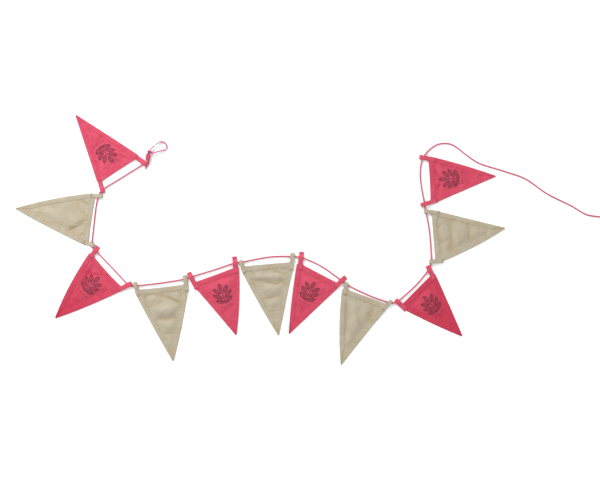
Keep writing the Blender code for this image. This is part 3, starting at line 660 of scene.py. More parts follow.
def cloth_look(name, kind, colour, cloth, ink=None):
    """Woven cloth with turned and stitched hems, and a printed sprig where ink is given."""
    shader = fibre_shader(name, 0.9, 0.15)
    # The colour of painted shade in fold hollows, seams, gathers, rumples and the stitch row
    shade = toned(colour, PAINTED_SHADE[kind])
    x, y, where = shader.map("cloth")
    left, right, _ = shader.map("rims")
    rim = left.lesser(right).lesser(y)
    threads, slub = woven(shader, x, y, where, cloth.weave)
    mottle = shader.cloud(where, MOTTLE_SCALE)
    hollow, ridge, _ = shader.map("lay")
    uneven = shader.cloud(where, UNEVEN_SCALE)
    rumple = shader.step(shader.cloud(where, RUMPLE_SCALE, 5.0), 0.34, 0.66)
    # Painted shade along the seam at the hem's inner edge, broken up by noise
    seam_shade = 1 - shader.step(abs(rim - SEAM_LINE * MM), 0.0002, 0.0018)
    seam_shade = seam_shade * shader.step(uneven, 0.3, 0.62)
    row = 1 - shader.step(abs(rim - STITCH_LINE * MM), 0.00022, 0.0004)
    half = cloth.stitch / 2
    dash_side = shader.step(abs(y.wrapped(half, -half)), *STITCH_GAP)
    dash_base = shader.step(abs(x.wrapped(half, -half)), *STITCH_GAP)
    at_base = shader.step(left.lesser(right) - y, -0.0001, 0.0001)
    dash = dash_side * (1 - at_base) + dash_base * at_base
    stitch = row * dash
    ripple = math.tau / PUCKER_WAVE
    drift = shader.cloud(where, DRIFT_SCALE) * 9.0
    pucker = (y * ripple + drift).sine() * (1 - at_base) + (x * ripple + drift).sine() * at_base
    gathered = 1 - shader.step(abs(rim - GATHER_LINE), *GATHER_FADE)
    strength = shader.step(uneven, 0.32, 0.68)
    dent = shader.step(pucker, -0.2, 1.0) * (0.25 + at_base * 0.75) * strength
    tone, _, _ = shader.map("tone")
    dull, fresh_and_highlight = toned(colour, DULL[kind]), toned(colour, FRESH_AND_HIGHLIGHT[kind])
    light = shader.mix(shader.step(mottle, 0.3, 0.7), dull, fresh_and_highlight)
    # Painted shade in the rumples
    light = shader.mix(rumple * RUMPLE_SHADE[kind], light, shade)
    light = shader.mix((threads * 0.5 + slub) * 0.35, light, scaled(colour, 0.8))
    # Painted shade where the pennant lies turned away from the light
    light = shader.mix(tone, light, toned(colour, TURNED))
    # Painted highlight on the folds' ridges, and painted shade in their hollows
    light = shader.mix(ridge * 0.6, light, fresh_and_highlight)
    light = shader.mix(hollow * 0.9, light, shade)
    # Painted shade along the hem's seam
    light = shader.mix(seam_shade * 0.35, light, shade)
    # Painted shade in the dips of the gathers along the hem seams
    light = shader.mix(gathered * dent * PUCKER_SHADE[kind], light, shade)
    # Painted shade in the groove of the stitch row
    light = shader.mix(row * 0.25, light, shade)
    light = shader.mix(stitch * 0.6, light, scaled(colour, 1.15))
    if ink is not None:
        light = shader.mix(sprig_mask(shader, x, y) * (0.72 + slub * 0.28), light, ink)
    shader.feed(Base_Color=light)
    fine = threads * 0.16 + slub * 0.5 + stitch * 0.9 - row * 0.5 - rumple * RUMPLE_RELIEF[kind]
    fine = fine + ridge * 1.5 - hollow * 3.0
    shader.relief(fine + pucker * gathered * strength * 1.1, CLOTH_RELIEF)
    return shader.material


def tape_look(name, colour, cloth):
    """The tabs' cloth, with a faint line along both of the tape's edges."""
    shader = fibre_shader(name, 0.9, 0.15)
    x, y, where = shader.map("cloth")
    left, right, _ = shader.map("rims")
    rim = left.lesser(right)
    threads, slub = woven(shader, x, y, where, cloth.weave)
    edge = 1 - shader.step(abs(rim - TAPE_EDGE), 0.0001, 0.0005)
    light = shader.mix((threads * 0.5 + slub) * 0.35, colour, scaled(colour, 0.8))
    light = shader.mix(edge * 0.35, light, scaled(colour, 0.6))
    shader.feed(Base_Color=light)
    shader.relief(threads * 0.16 + slub * 0.5 - edge * 0.6, CLOTH_RELIEF)
    return shader.material


def braid_look(name, colour, cord):
    """Round braid: strands that cross each other over and under."""
    shader = fibre_shader(name, 0.8, 0.2)
    around, along, where = shader.map("tube")
    spin = around * (STRANDS * math.tau)
    run = along * (STRANDS * math.tau / cord.braid)
    strands = (spin + run).sine() * (spin - run).sine()
    fibre = shader.cloud(where, FIBRE_SCALE)
    light = shader.mix(strands * 0.5 + 0.5, scaled(colour, 0.84), scaled(colour, 1.1))
    light = shader.mix(fibre * 0.3, light, scaled(colour, 0.75))
    shader.feed(Base_Color=light)
    shader.relief(strands + fibre * 0.3, BRAID_RELIEF)
    return shader.material


def thread_look(name, colour):
    return Shader(name, Roughness=0.6, Base_Color=(*colour, 1.0)).material


def metal_look(name, colour, roughness):
    """Satin metal with a fine uneven gloss."""
    shader = Shader(name, Metallic=1.0, Base_Color=(*colour, 1.0))
    where = shader.add("ShaderNodeTexCoord", out=3)
    grain = shader.cloud(where, GRAIN_SCALE, 2.0)
    shader.feed(Roughness=grain * 0.12 + roughness)
    return shader.material


def smoothstep(low, high, value):
    """0 at low and 1 at high, whichever of the two is greater."""
    t = min(max((value - low) / (high - low), 0.0), 1.0)
    return t * t * (3 - 2 * t)


def blend(a, b, t):
    return a + (b - a) * t


def distance_to_segment(point, start, end):
    """Distance from a point to a segment, and how far along the segment the foot lies."""
    along = end - start
    t = min(max((point - start).dot(along) / along.length_squared, 0.0), 1.0)
    return (point - start - along * t).length, t


def smooth_curve(points, steps):
    """Points on a centripetal Catmull-Rom curve through the given ones."""
    points = [Vector(p) for p in points]
    first = points[0] * 2 - points[1]
    last = points[-1] * 2 - points[-2]
    path = [first, *points, last]
    curve = []
    for p0, p1, p2, p3 in zip(path, path[1:], path[2:], path[3:]):
        t0 = 0.0
        t1 = t0 + math.sqrt((p1 - p0).length)
        t2 = t1 + math.sqrt((p2 - p1).length)
        t3 = t2 + math.sqrt((p3 - p2).length)
        for step in range(steps):
            t = blend(t1, t2, step / steps)
            a1 = p0 * ((t1 - t) / (t1 - t0)) + p1 * ((t - t0) / (t1 - t0))
            a2 = p1 * ((t2 - t) / (t2 - t1)) + p2 * ((t - t1) / (t2 - t1))
            a3 = p2 * ((t3 - t) / (t3 - t2)) + p3 * ((t - t2) / (t3 - t2))
            b1 = a1 * ((t2 - t) / (t2 - t0)) + a2 * ((t - t0) / (t2 - t0))
            b2 = a2 * ((t3 - t) / (t3 - t1)) + a3 * ((t - t1) / (t3 - t1))
            curve.append(b1 * ((t2 - t) / (t2 - t1)) + b2 * ((t - t1) / (t2 - t1)))
    curve.append(points[-1])
    return curve


def evenly(points, spacing):
    """Points along the same path at an even spacing, with both of its ends."""
    total = sum((b - a).length for a, b in zip(points, points[1:]))
    count = max(2, round(total / spacing))
    wanted = [total * i / count for i in range(count + 1)]
    made, done = [], 0.0
    for a, b in zip(points, points[1:]):
        length = (b - a).length
        while wanted and wanted[0] <= done + length + 1e-9:
            made.append(a.lerp(b, (wanted.pop(0) - done) / length))
        done += length
    return made + [points[-1]] * len(wanted)


def settle(piece, body, slot, *nodes):
    """The piece rides on a body and stands for solids, which are hidden. slot is not used."""
    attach(piece, body)
    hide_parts(*nodes)
    return piece


class Skin:
    """Points in millimetres, faces and map corners that are gathered for one piece."""

    def __init__(self, *map_names):
        self.verts = []
        self.faces = []
        self.face_looks = []
        self.maps = {name: [] for name in map_names}

    def face(self, corners, pairs, look=0):
        self.faces.append(corners)
        self.face_looks.append(look)
        for name, values in zip(self.maps, pairs):
            self.maps[name].extend(values)

    def piece(self, name, looks, sharp=50.0):
        mesh = bpy.data.meshes.new(name)
        mesh.from_pydata([tuple(v * MM for v in vert) for vert in self.verts], [], self.faces)
        for map_name, pairs in self.maps.items():
            layer = mesh.uv_layers.new(name=map_name)
            layer.data.foreach_set("uv", [number for pair in pairs for number in pair])
        for look in looks:
            mesh.materials.append(look)
        mesh.polygons.foreach_set("material_index", self.face_looks)
        mesh.polygons.foreach_set("use_smooth", [True] * len(mesh.polygons))
        mesh.set_sharp_from_angle(angle=math.radians(sharp))
        mesh.update()
        piece = bpy.data.objects.new(name, mesh)
        bpy.context.scene.collection.objects.link(piece)
        return piece

    def cloth(self, top, under, maps):
        """A sheet between two grids of points, closed along its four sides."""
        start = len(self.verts)
        rows, columns = len(top), len(top[0])
        self.verts += [p for line in top for p in line] + [p for line in under for p in line]
        lower = rows * columns

        def add(*places):
            corners = [start + side * lower + r * columns + c for side, r, c in places]
            pairs = [[values[r][c] for _, r, c in places] for values in maps]
            self.face(corners, pairs)

        for r in range(rows - 1):
            for c in range(columns - 1):
                add((0, r, c), (0, r + 1, c), (0, r + 1, c + 1), (0, r, c + 1))
                add((1, r, c), (1, r, c + 1), (1, r + 1, c + 1), (1, r + 1, c))
        for c in range(columns - 1):
            add((0, 0, c), (0, 0, c + 1), (1, 0, c + 1), (1, 0, c))
            add((0, rows - 1, c + 1), (0, rows - 1, c), (1, rows - 1, c), (1, rows - 1, c + 1))
        for r in range(rows - 1):
            add((0, r + 1, 0), (0, r, 0), (1, r, 0), (1, r + 1, 0))
            last = columns - 1
            add((0, r, last), (0, r + 1, last), (1, r + 1, last), (1, r, last))

    def tube(self, points, radii, sides):
        """A round tube along points, closed at both ends, with the braid's map on it."""
        points = [Vector(p) for p in points]
        if not hasattr(radii, "__len__"):
            radii = [radii] * len(points)
        start = len(self.verts)
        side = None
        run = [0.0]
        for a, b in zip(points, points[1:]):
            run.append(run[-1] + (b - a).length)
        for i, (point, radius) in enumerate(zip(points, radii)):
            ahead = points[min(i + 1, len(points) - 1)] - points[max(i - 1, 0)]
            ahead.normalize()
            if side is None:
                side = ahead.orthogonal().normalized()
            side = (side - ahead * side.dot(ahead)).normalized()
            up = ahead.cross(side)
            for j in range(sides):
                angle = math.tau * j / sides
                self.verts.append(point + side * (radius * math.cos(angle))
                                  + up * (radius * math.sin(angle)))
        self.wrap(start, len(points), sides, lambda i, j: (j / sides, run[i] * MM))

    def wrap(self, start, rings, sides, place, look=0):
        """Faces round rings of points that follow each other, and a cap at both ends. place
        gives the pair of numbers that every map has at a ring and a side."""
        count = len(self.maps)
        for i in range(rings - 1):
            for j in range(sides):
                k = (j + 1) % sides
                low, high = start + i * sides, start + (i + 1) * sides
                pairs = [place(i, j), place(i, j + 1), place(i + 1, j + 1), place(i + 1, j)]
                self.face([low + j, low + k, high + k, high + j], [pairs] * count, look)
        last = start + (rings - 1) * sides
        flat = [place(0, j) for j in range(sides)]
        self.face([start + j for j in reversed(range(sides))], [flat] * count, look)
        self.face([last + j for j in range(sides)], [flat] * count, look)


def edge_point(start, end, bow, t, outward):
    return blend(start, end, t) + outward * (bow * 4 * t * (1 - t))


def corner_lift(point, tabs):
    """How far the cloth is lifted by the tab's lower leg under its corner."""
    reach = min(distance_to_segment(point, Vector(tab.root), Vector(tab.end))[0] for tab in tabs)
    return (TAB_THICKNESS + GAP) * (1 - smoothstep(*CORNER_LIFT_RUN, reach))


def folds_in(rows):
    return [Fold(row[:2], row[2:4], *row[4:]) for row in rows]


def fold_height(point, shape, folds, rim):
    """Height of the cloth's underside over the surface, away from its lifted corners."""
    height = FIELD_PUFF
    for fold in folds:
        start = shape(*fold.start)
        end = shape(*fold.end)
        off, t = distance_to_segment(point, start, end)
        fade = math.sin(math.pi * blend(*FOLD_SHAPE_RUN, t))
        reach = fold.reach * FOLD_NARROWING
        height += fold.height * FOLD_GAIN * fade * math.exp(-((off / reach) ** 2))
    return max(height, 0.0) * smoothstep(HEM_WIDTH, HEM_WIDTH + HEM_FALL, rim)


def pennant_shape(pennant):
    """The pennant's outline as a function of across and along, and its height."""
    first, second, tip = (Vector(p) for p in (pennant.first, pennant.second, pennant.tip))
    across = (second - first).normalized()
    middle = (first + second) / 2
    down = (tip - middle).normalized()
    half_tip = across * (TIP_WIDTH / 2)
    tips = (tip - half_tip, tip + half_tip)
    run_first = (tips[0] - first).normalized()
    out_first = Vector((run_first.y, -run_first.x))
    out_first *= -1 if out_first.dot(across) > 0 else 1
    run_second = (tips[1] - second).normalized()
    out_second = Vector((run_second.y, -run_second.x))
    out_second *= 1 if out_second.dot(across) > 0 else -1

    def shape(u, v):
        left = edge_point(first, tips[0], pennant.first_bow, v, out_first)
        right = edge_point(second, tips[1], pennant.second_bow, v, out_second)
        base = -down * (pennant.base_bow * 4 * u * (1 - u) * (1 - v) ** 4)
        return blend(left, right, u) + base

    return shape, (tip - middle).length


def cloth_noise(point, size, layer):
    """Smooth noise from -1 to 1 over the cloth, with waves of about the given size."""
    return noise.noise(Vector((point.x / size, point.y / size, layer * NOISE_LAYER)))


def corner_inset(rim, down):
    """How far a point near the base's corner is drawn in, so that the tape covers the corner."""
    past = math.hypot(max(CORNER_ROUNDING - rim, 0.0), max(CORNER_ROUNDING - down, 0.0))
    return max(past - CORNER_ROUNDING, 0.0)


def fold_tone(point, shape, folds, rim):
    """From 0 to 1: how far the cloth is in a fold's hollow, and how far on a ridge. These set the
    painted shade in hollows, the painted highlight on ridges, and their bump.
    """
    hollow, ridge = 0.0, 0.0
    for fold in folds:
        off, t = distance_to_segment(point, shape(*fold.start), shape(*fold.end))
        fade = math.sin(math.pi * blend(*FOLD_TONE_RUN, t)) * abs(fold.height) / DEEPEST_FOLD
        if fold.height < 0:
            hollow += fade * math.exp(-((off / (fold.reach * HOLLOW_NARROWING)) ** 2))
        else:
            ridge += fade * math.exp(-((off / fold.reach) ** 2))
    level = smoothstep(HEM_WIDTH - 1.0, HEM_WIDTH + 5.0, rim)
    return min(hollow, 1.0) * level, min(ridge, 1.0) * level


def hem_thickness(rim, tip_end):
    """Thickness of the cloth, which is doubled in its hem and rounded at its rim."""
    edge = min(rim, tip_end)
    round_off = 1 - min(edge / HEM_ROUNDING, 1.0)
    full = blend(HEM_THICKNESS, FIELD_THICKNESS, smoothstep(*HEM_STEP, rim))
    dent = STITCH_DENT * math.exp(-(((rim - STITCH_LINE) / STITCH_DENT_REACH) ** 2))
    return full * (0.5 + 0.5 * math.sqrt(1 - round_off * round_off)) - dent


def cloth_rows(height):
    """Distances from the base where a pennant's rows of points lie."""
    inner = round((height - 2 * HEM_BAND[-1]) / ROW_SPACING)
    bottom = height - LAST_FIELD_ROW
    field = [blend(HEM_BAND[-1], bottom, i / inner) for i in range(1, inner + 1)]
    return [*HEM_BAND, *field, *(height - left for left in TIP_ROWS)]


def cloth_columns(width):
    """Distances from the left rim of a row's points, and how far its hems are squeezed."""
    squeeze = min(1.0, width / (2 * HEM_BAND[-1] + 2))
    band = [place * squeeze for place in HEM_BAND]
    span = width - 2 * band[-1]
    field = [band[-1] + span * i / (FIELD_COLUMNS + 1) for i in range(1, FIELD_COLUMNS + 1)]
    return [*band, *field, *(width - place for place in reversed(band))], squeeze


def make_pennant(pennant, tabs, pucker, look):
    """A hemmed triangle of cloth with its folds, laid on the surface."""
    shape, height = pennant_shape(pennant)
    folds, creases = folds_in(FOLDS[pennant.name]), folds_in(CREASES[pennant.name])
    seed = int(pennant.name[-2:])
    top, under, flat, rims, lay, tones = [], [], [], [], [], []
    tone = TURNED_SHADES.get(pennant.name, Tone(0.0, 0.0))
    waving = WAVE_HEIGHT[pennant.cloth]
    for down in cloth_rows(height):
        v = down / height
        width = (shape(1, v) - shape(0, v)).length
        places, squeeze = cloth_columns(width)
        lines = [], [], [], [], [], []
        for place in places:
            rim = min(place, width - place)
            inward = corner_inset(rim, down)
            sideways = inward if place < width / 2 else -inward
            point = shape((place + sideways) / width, (down + inward) / height)
            hem = min(rim / squeeze, down)
            puffed = fold_height(point, shape, folds, min(rim, down))
            lift = corner_lift(point, tabs)
            inside = smoothstep(HEM_WIDTH - 6, HEM_WIDTH + 20, min(rim, down))
            wave = waving * cloth_noise(point, WAVE_SIZE, seed)
            wave += RIPPLE_HEIGHT * cloth_noise(point, RIPPLE_SIZE, seed + 20)
            gather = math.exp(-(((hem - PUCKER_LINE) / PUCKER_REACH) ** 2)) * pucker / MM
            gather *= cloth_noise(point, PUCKER_SIZE, seed + 40)
            low = max(puffed + wave * inside, lift, 0.0)
            rim_wave = max(cloth_noise(point, RIM_WAVE_SIZE, seed + 60), 0.0)
            low += RIM_WAVE_HEIGHT * rim_wave * (1 - inside)
            thick = hem_thickness(hem, height - down)
            rounded = 0.3 * (1 - min(min(hem, height - down) / HEM_ROUNDING, 1.0))
            lines[0].append((point.x, point.y, low + thick + gather))
            lines[1].append((point.x, point.y, low + rounded))
            lines[2].append(((place - width / 2) * MM, down * MM))
            lines[3].append((place / squeeze * MM, (width - place) / squeeze * MM))
            lines[4].append(fold_tone(point, shape, folds + creases, min(rim, down)))
            lines[5].append((blend(tone.base, tone.tip, v), 0.0))
        for grid, line in zip((top, under, flat, rims, lay, tones), lines):
            grid.append(line)
    skin = Skin("cloth", "rims", "lay", "tone")
    first, second, third = (Vector(top[r][c][:2]) for r, c in ((0, 0), (-1, 0), (0, -1)))
    if (second - first).cross(third - first) < 0:
        for grid in (top, under, flat, rims, lay, tones):
            for line in grid:
                line.reverse()
    skin.cloth(top, under, (flat, rims, lay, tones))
    piece = skin.piece(f"{pennant.name}_cloth", [look], 60.0)
    settle(piece, BODY, f"{pennant.cloth}_cloth", pennant.name)
    base = (shape(1, 0) - shape(0, 0)).length
    height * MM
    base * height / 2 * MM * MM


def tab_profile(tab):
    """The folded strip seen from its side: along the tab and up, in millimetres."""
    length = (Vector(tab.end) - Vector(tab.root)).length + LOOP_EASE
    half = TAB_THICKNESS / 2
    crossing = length - LOOP_EASE - tab.past_cord
    over_cloth = TAB_THICKNESS + GAP + HEM_THICKNESS + GAP + half
    over_cord = CORD_IN_TAB + CORD_RADIUS + LOOP_CLEARANCE + half
    closed = TAB_THICKNESS + GAP + half
    lower = [(0.0, half), (length / 2, half), (length - END_RUN, half)]
    if tab.past_cord > LONG_TAB_REACH:
        end = [
            (length - END_ROUNDING, half + 0.2), (length - half, (half + closed) / 2),
            (length - END_ROUNDING, closed - 0.1), (length - END_RUN, closed),
            (crossing + LOOP_FOOT, closed),
            (crossing + (LOOP_FOOT + LOOP_FRONT) / 2, over_cord * 0.72),
            (crossing + LOOP_FRONT, over_cord),
        ]
    else:
        end = [
            (length - END_ROUNDING, half + 0.2), (length - half, closed + 0.05),
            (length - half, over_cord * 0.62), (length - END_ROUNDING - 0.3, over_cord * 0.9),
            (length - END_RUN, over_cord),
        ]
    back = min(crossing - LOOP_BACK - 4.0, CLOTH_REACH)
    return lower + end + [(crossing - LOOP_BACK, over_cord), (back, over_cloth), (0.0, over_cloth)]


def make_tab(tab, looks, seed):
    """A strip of cloth folded in two round the cord, with its bar of stitches."""
    root, end = Vector(tab.root), Vector(tab.end)
    along = (end - root).normalized()
    side = Vector((-along.y, along.x))
    line = evenly(smooth_curve([Vector(p) for p in tab_profile(tab)], 8), TAB_STEP)
    normals = []
    for i in range(len(line)):
        ahead = (line[min(i + 1, len(line) - 1)] - line[max(i - 1, 0)]).normalized()
        normals.append(Vector((ahead.y, -ahead.x)))
    outer, inner, flat, rims = [], [], [], []
    run = 0.0
    for i, (spot, normal) in enumerate(zip(line, normals)):
        if i:
            run += (spot - line[i - 1]).length
        lines = [], [], [], []
        for place, share in TAB_SECTION:
            wander = EDGE_WANDER * noise.noise(Vector((run / WANDER_SIZE, place * 0.6, seed)))
            offset = side * (place * tab.width / 2 + wander)
            for grid, way in ((0, 1), (1, -1)):
                half = way * share * TAB_THICKNESS / 2
                at = root + along * (spot.x + normal.x * half) + offset
                lines[grid].append((at.x, at.y, max(spot.y + normal.y * half, 0.0)))
            lines[2].append((place * tab.width / 2 * MM, run * MM))
            edge = (1 + place) * tab.width / 2 * MM
            lines[3].append((edge, tab.width * MM - edge))
        for grid, made in zip((outer, inner, flat, rims), lines):
            grid.append(made)
    skin = Skin("cloth", "rims")
    skin.cloth(inner, outer, (flat, rims))
    height = max(p[2] for p in inner[-1] + outer[-1])
    count = int((tab.width - 2 * BAR_MARGIN) / BAR_SPACING)
    for i in range(count):
        across = (i - (count - 1) / 2) * BAR_SPACING
        middle = root + along * BAR_FROM_ROOT + side * across
        lean = side * (BAR_SPACING * BAR_LEAN)
        ends = [middle + (along * (BAR_STITCH / 2) + lean) * way for way in (-1, 1)]
        add_stitch(skin, ends, height, BAR_THREAD, 1)
    piece = skin.piece(f"{tab.name}_tape", looks, 60.0)
    settle(piece, BODY, f"{tab.cloth}_cloth", tab.name)


def add_stitch(skin, ends, height, radius, look):
    """One stitch: a short thread that dips into the cloth at both ends."""
    start = len(skin.verts)
    across = (ends[1] - ends[0]).normalized()
    across = Vector((-across.y, across.x))
    for t, share, rise in STITCH_RINGS:
        centre = blend(ends[0], ends[1], t)
        for j in range(STITCH_SIDES):
            angle = math.tau * j / STITCH_SIDES
            flat = centre + across * (radius * share * math.cos(angle))
            skin.verts.append((flat.x, flat.y, height + rise + radius * share * math.sin(angle)))
    skin.wrap(start, len(STITCH_RINGS), STITCH_SIDES, lambda i, j: (0.0, 0.0), look)


def cord_height(point, crossings):
    """The cord lies on the surface, and rises over each tab's lower leg and to the stopper."""
    nearest = min((point - crossing).length for crossing in crossings)
    rise = 1 - smoothstep(TAB_RISE_FLAT, TAB_RISE_END, nearest)
    height = blend(CORD_ON_FLOOR, CORD_IN_TAB, rise)
    to_stopper = (point - Vector(CORD_ROUTE[-1])).length
    return blend(STOPPER_WIDTH / 2, height, smoothstep(0.0, 22.0, to_stopper))


def cord_points():
    crossings = []
    for tab in TABS:
        along = (Vector(tab.end) - Vector(tab.root)).normalized()
        crossings.append(Vector(tab.end) - along * tab.past_cord)
    path = []
    for point in smooth_curve(CORD_ROUTE, 24):
        path.append(Vector((point.x, point.y, cord_height(point, crossings))))
    return evenly(path, CORD_STEP)


def cord_piece(name, node, path, look, sides=12):
    """A round length of cord along a path, in place of the node's solid."""
    skin = Skin("tube")
    skin.tube(path, CORD_RADIUS, sides)
    return settle(skin.piece(name, [look]), BODY, "pink_cord", node)


def make_cord(look):
    points = cord_points()
    piece = cord_piece("cord_braid", "cord", points, look, CORD_SIDES)
    length = sum((b - a).length for a, b in zip(points, points[1:]))
    return piece, [p * MM for p in points], length * MM


def wrapped_knot(name, node, length, width, height, turns, centre, heading, look):
    """Turns of cord wound side by side round a core of the same cord."""
    along = Vector((*heading, 0.0)).normalized()
    side = Vector((-along.y, along.x, 0.0))
    up = Vector((0.0, 0.0, 1.0))
    centre = Vector(centre)
    wide, tall = width / 2 - CORD_RADIUS, height / 2 - CORD_RADIUS
    reach = length - CORD_DIAMETER
    steps = turns * WRAP_STEPS
    path = []
    for i in range(steps + 1):
        t = i / steps
        angle = math.tau * turns * t + WRAP_START
        full = blend(WRAP_NARROWEST, 1.0, math.sqrt(max(math.sin(math.pi * t), 0.0)))
        path.append(centre + along * (reach * (t - 0.5))
                    + side * (wide * full * math.cos(angle)) + up * (tall * full * math.sin(angle)))
    core, swell = [], []
    for i in range(CORE_STEPS + 1):
        t = i / CORE_STEPS
        core.append(centre + along * (length * (t - 0.5) * CORE_REACH))
        swell.append(min(wide, tall) * (0.55 + 0.35 * math.sin(math.pi * t)))
    skin = Skin("tube")
    skin.tube(path, CORD_RADIUS, 12)
    skin.tube(core, swell, 12)
    piece = skin.piece(name, [look])
    return settle(piece, BODY, "pink_cord", node)


def hook_frame():
    """Places the snap hook: its small end rides up on the cord, its wide end lies down."""
    run = HOOK_WIDE_END_X - HOOK_SMALL_END_X
    tilt = math.atan2(HOOK_RISE, run)
    low = HOOK_ROD / 2 / math.cos(tilt)
    height = low + HOOK_WIDE_END_X * math.tan(tilt)
    return (
        Matrix.Translation(Vector((*HOOK_PLACE, height)))
        @ Matrix.Rotation(math.radians(HOOK_TURN), 4, "Z")
        @ Euler((0.0, tilt, 0.0)).to_matrix().to_4x4()
    )


def make_bight(look):
    """The loop of cord that runs from the knot round the hook's small end and back."""
    middle = hook_frame() @ Vector((*BIGHT_AT, 0.0))
    ring = HOOK_ROD / 2 + GAP + CORD_RADIUS + BIGHT_EASE
    heading = Vector(BIGHT_HEADING).normalized()
    points = []
    for step in range(BIGHT_STEPS):
        angle = math.radians(blend(BIGHT_SWEEP, -BIGHT_SWEEP, step / (BIGHT_STEPS - 1)))
        out = middle.xy + heading * (ring * math.cos(angle))
        points.append(Vector((*out, max(middle.z + ring * math.sin(angle), CORD_ON_FLOOR))))
    path = [Vector(p) for p in BIGHT_TOP] + points + [Vector(p) for p in BIGHT_UNDER]
    return cord_piece("knot_loop", "knot_bight", evenly(smooth_curve(path, 4), KNOT_STEP), look)


def make_stub(look):
    path = evenly(smooth_curve(STUB_ROUTE, 8), KNOT_STEP)
    return cord_piece("knot_cut_end", "knot_stub", path, look)


def make_tail_end(look):
    """The stopper knot on the tail, and the short end of cord past it."""
    last, before = Vector(CORD_ROUTE[-1]), Vector(CORD_ROUTE[-2])
    heading = (last - before).normalized()
    clear = STOPPER_LENGTH / 2 + 2 * GAP
    middle = last + heading * clear
    stopper = wrapped_knot(
        "stopper_wraps", "stopper_knot", STOPPER_LENGTH, STOPPER_WIDTH, STOPPER_WIDTH,
        STOPPER_TURNS, (*middle, STOPPER_WIDTH / 2 + KNOT_OVER_FLOOR), heading, look)
    start = middle + heading * (clear - TAIL_OVERLAP)
    path = []
    for step in range(TAIL_STEPS + 1):
        t = step / TAIL_STEPS
        flat = start + heading * ((TAIL_TIP_LENGTH + TAIL_OVERLAP) * t)
        path.append(Vector((*flat, blend(STOPPER_WIDTH / 2, CORD_ON_FLOOR, smoothstep(0.0, 0.9, t)))))
    return stopper, cord_piece("tail_end", "tail_tip", path, look)


def plain_object(name, bm):
    mesh = bpy.data.meshes.new(name)
    bm.to_mesh(mesh)
    bm.free()
    made = bpy.data.objects.new(name, mesh)
    bpy.context.scene.collection.objects.link(made)
    return made


def block(name, size, centre, turn):
    bm = bmesh.new()
    place = Matrix.Translation(Vector(centre) * MM) @ Matrix.Rotation(turn, 4, "Z")
    bmesh.ops.create_cube(bm, size=1.0, matrix=place @ Matrix.Diagonal((*(Vector(size) * MM), 1.0)))
    return plain_object(name, bm)


def rod(name, diameter, length, matrix, sides=28):
    bm = bmesh.new()
    bmesh.ops.create_cone(
        bm, cap_ends=True, segments=sides, radius1=diameter / 2 * MM,
        radius2=diameter / 2 * MM, depth=length * MM, matrix=matrix,
    )
    return plain_object(name, bm)


def cut_and_round(item, cutters, edge, look, matrix):
    """Takes the cutters' shapes out of the item, and breaks its sharp edges."""
    for cutter in cutters:
        step = item.modifiers.new(cutter.name, "BOOLEAN")
        step.solver = "EXACT"
        step.object = cutter
    bevel = item.modifiers.new("edge", "BEVEL")
    bevel.width = edge * MM
    bevel.segments = 2
    bevel.limit_method = "ANGLE"
    bevel.angle_limit = math.radians(40)
    bpy.context.view_layer.update()
    seen = item.evaluated_get(bpy.context.evaluated_depsgraph_get())
    mesh = bpy.data.meshes.new_from_object(seen)
    item.modifiers.clear()
    item.data = mesh
    mesh.transform(matrix)
    mesh.materials.clear()
    mesh.materials.append(look)
    mesh.polygons.foreach_set("use_smooth", [True] * len(mesh.polygons))
    mesh.set_sharp_from_angle(angle=math.radians(35))
    mesh.update()


def make_hook(looks):
    """The snap hook's body, its gate and the pin that the gate turns on."""
    place = hook_frame()
    place.translation *= MM
    pivot, nose = Vector(GATE_PIVOT), Vector(GATE_NOSE)
    along = (nose - pivot).normalized()
    turn = math.atan2(along.y, along.x)
    route = evenly(smooth_curve([Vector((*p, 0.0)) for p in HOOK_ROUTE], 16), 0.9)
    skin = Skin("tube")
    skin.tube(route, HOOK_ROD / 2, 24)
    body = skin.piece("hook_rod", [looks["hook"]])
    bore = Matrix.Translation(Vector((*pivot, 0.0)) * MM)
    pin_hole = rod("pin_hole", PIN_DIAMETER + 2 * GAP, CUTTER_REACH, bore)
    slots = []
    for name, centre, length in (
        ("pivot_slot", pivot, ROOT_SLOT), ("nose_slot", nose + along * NOSE_SLOT_SHIFT, NOSE_SLOT),
    ):
        slots.append(block(name, (length, CUTTER_REACH, FORK_SLOT), (*centre, 0.0), turn))
    cut_and_round(body, [*slots, pin_hole], BODY_EDGE, looks["hook"], place)

    start = pivot - along * GATE_ROOT_PAST_PIN
    end = nose + along * GATE_TIP_PAST_NOSE
    lay = (
        Matrix.Translation(Vector((*((start + end) / 2), 0.0)) * MM)
        @ Matrix.Rotation(turn, 4, "Z")
        @ Matrix.Rotation(math.pi / 2, 4, "Y")
    )
    gate = rod("hook_gate_bar", GATE_ROD, (end - start).length, lay)
    shavers = []
    for name, centre, length in (("root", pivot, ROOT_TONGUE), ("tip", nose, TIP_TONGUE)):
        for side in (1, -1):
            height = side * (GATE_TONGUE + GATE_ROD) / 2
            size = (length, CUTTER_REACH, GATE_ROD)
            shavers.append(block(f"{name}_{side}", size, (*centre, height), turn))
    cut_and_round(gate, [*shavers, pin_hole], GATE_EDGE, looks["gate"], place)
    pin = rod("hook_rivet", PIN_DIAMETER, HOOK_ROD + 2 * PIN_PAST_ROD, bore, PIN_SIDES)
    heads = []
    for name, way in (("head", 1), ("foot", -1)):
        lift = Matrix.Translation((0, 0, way * HOOK_ROD / 2 * MM))
        heads.append(rod(f"rivet_{name}", PIN_HEAD, HEAD_THICKNESS, bore @ lift, PIN_SIDES))
        step = pin.modifiers.new(name, "BOOLEAN")
        step.operation = "UNION"
        step.solver = "EXACT"
        step.object = heads[-1]
    cut_and_round(pin, [], PIN_EDGE, looks["gate"], place)
    for tool in (pin_hole, *heads, *slots, *shavers):
        bpy.data.objects.remove(tool, do_unlink=True)
    settle(body, BODY, "pink_anodised", "hook_body")
    settle(gate, "gate", "bare_aluminium", "hook_gate")
    settle(pin, BODY, "bare_aluminium", "hook_pin")


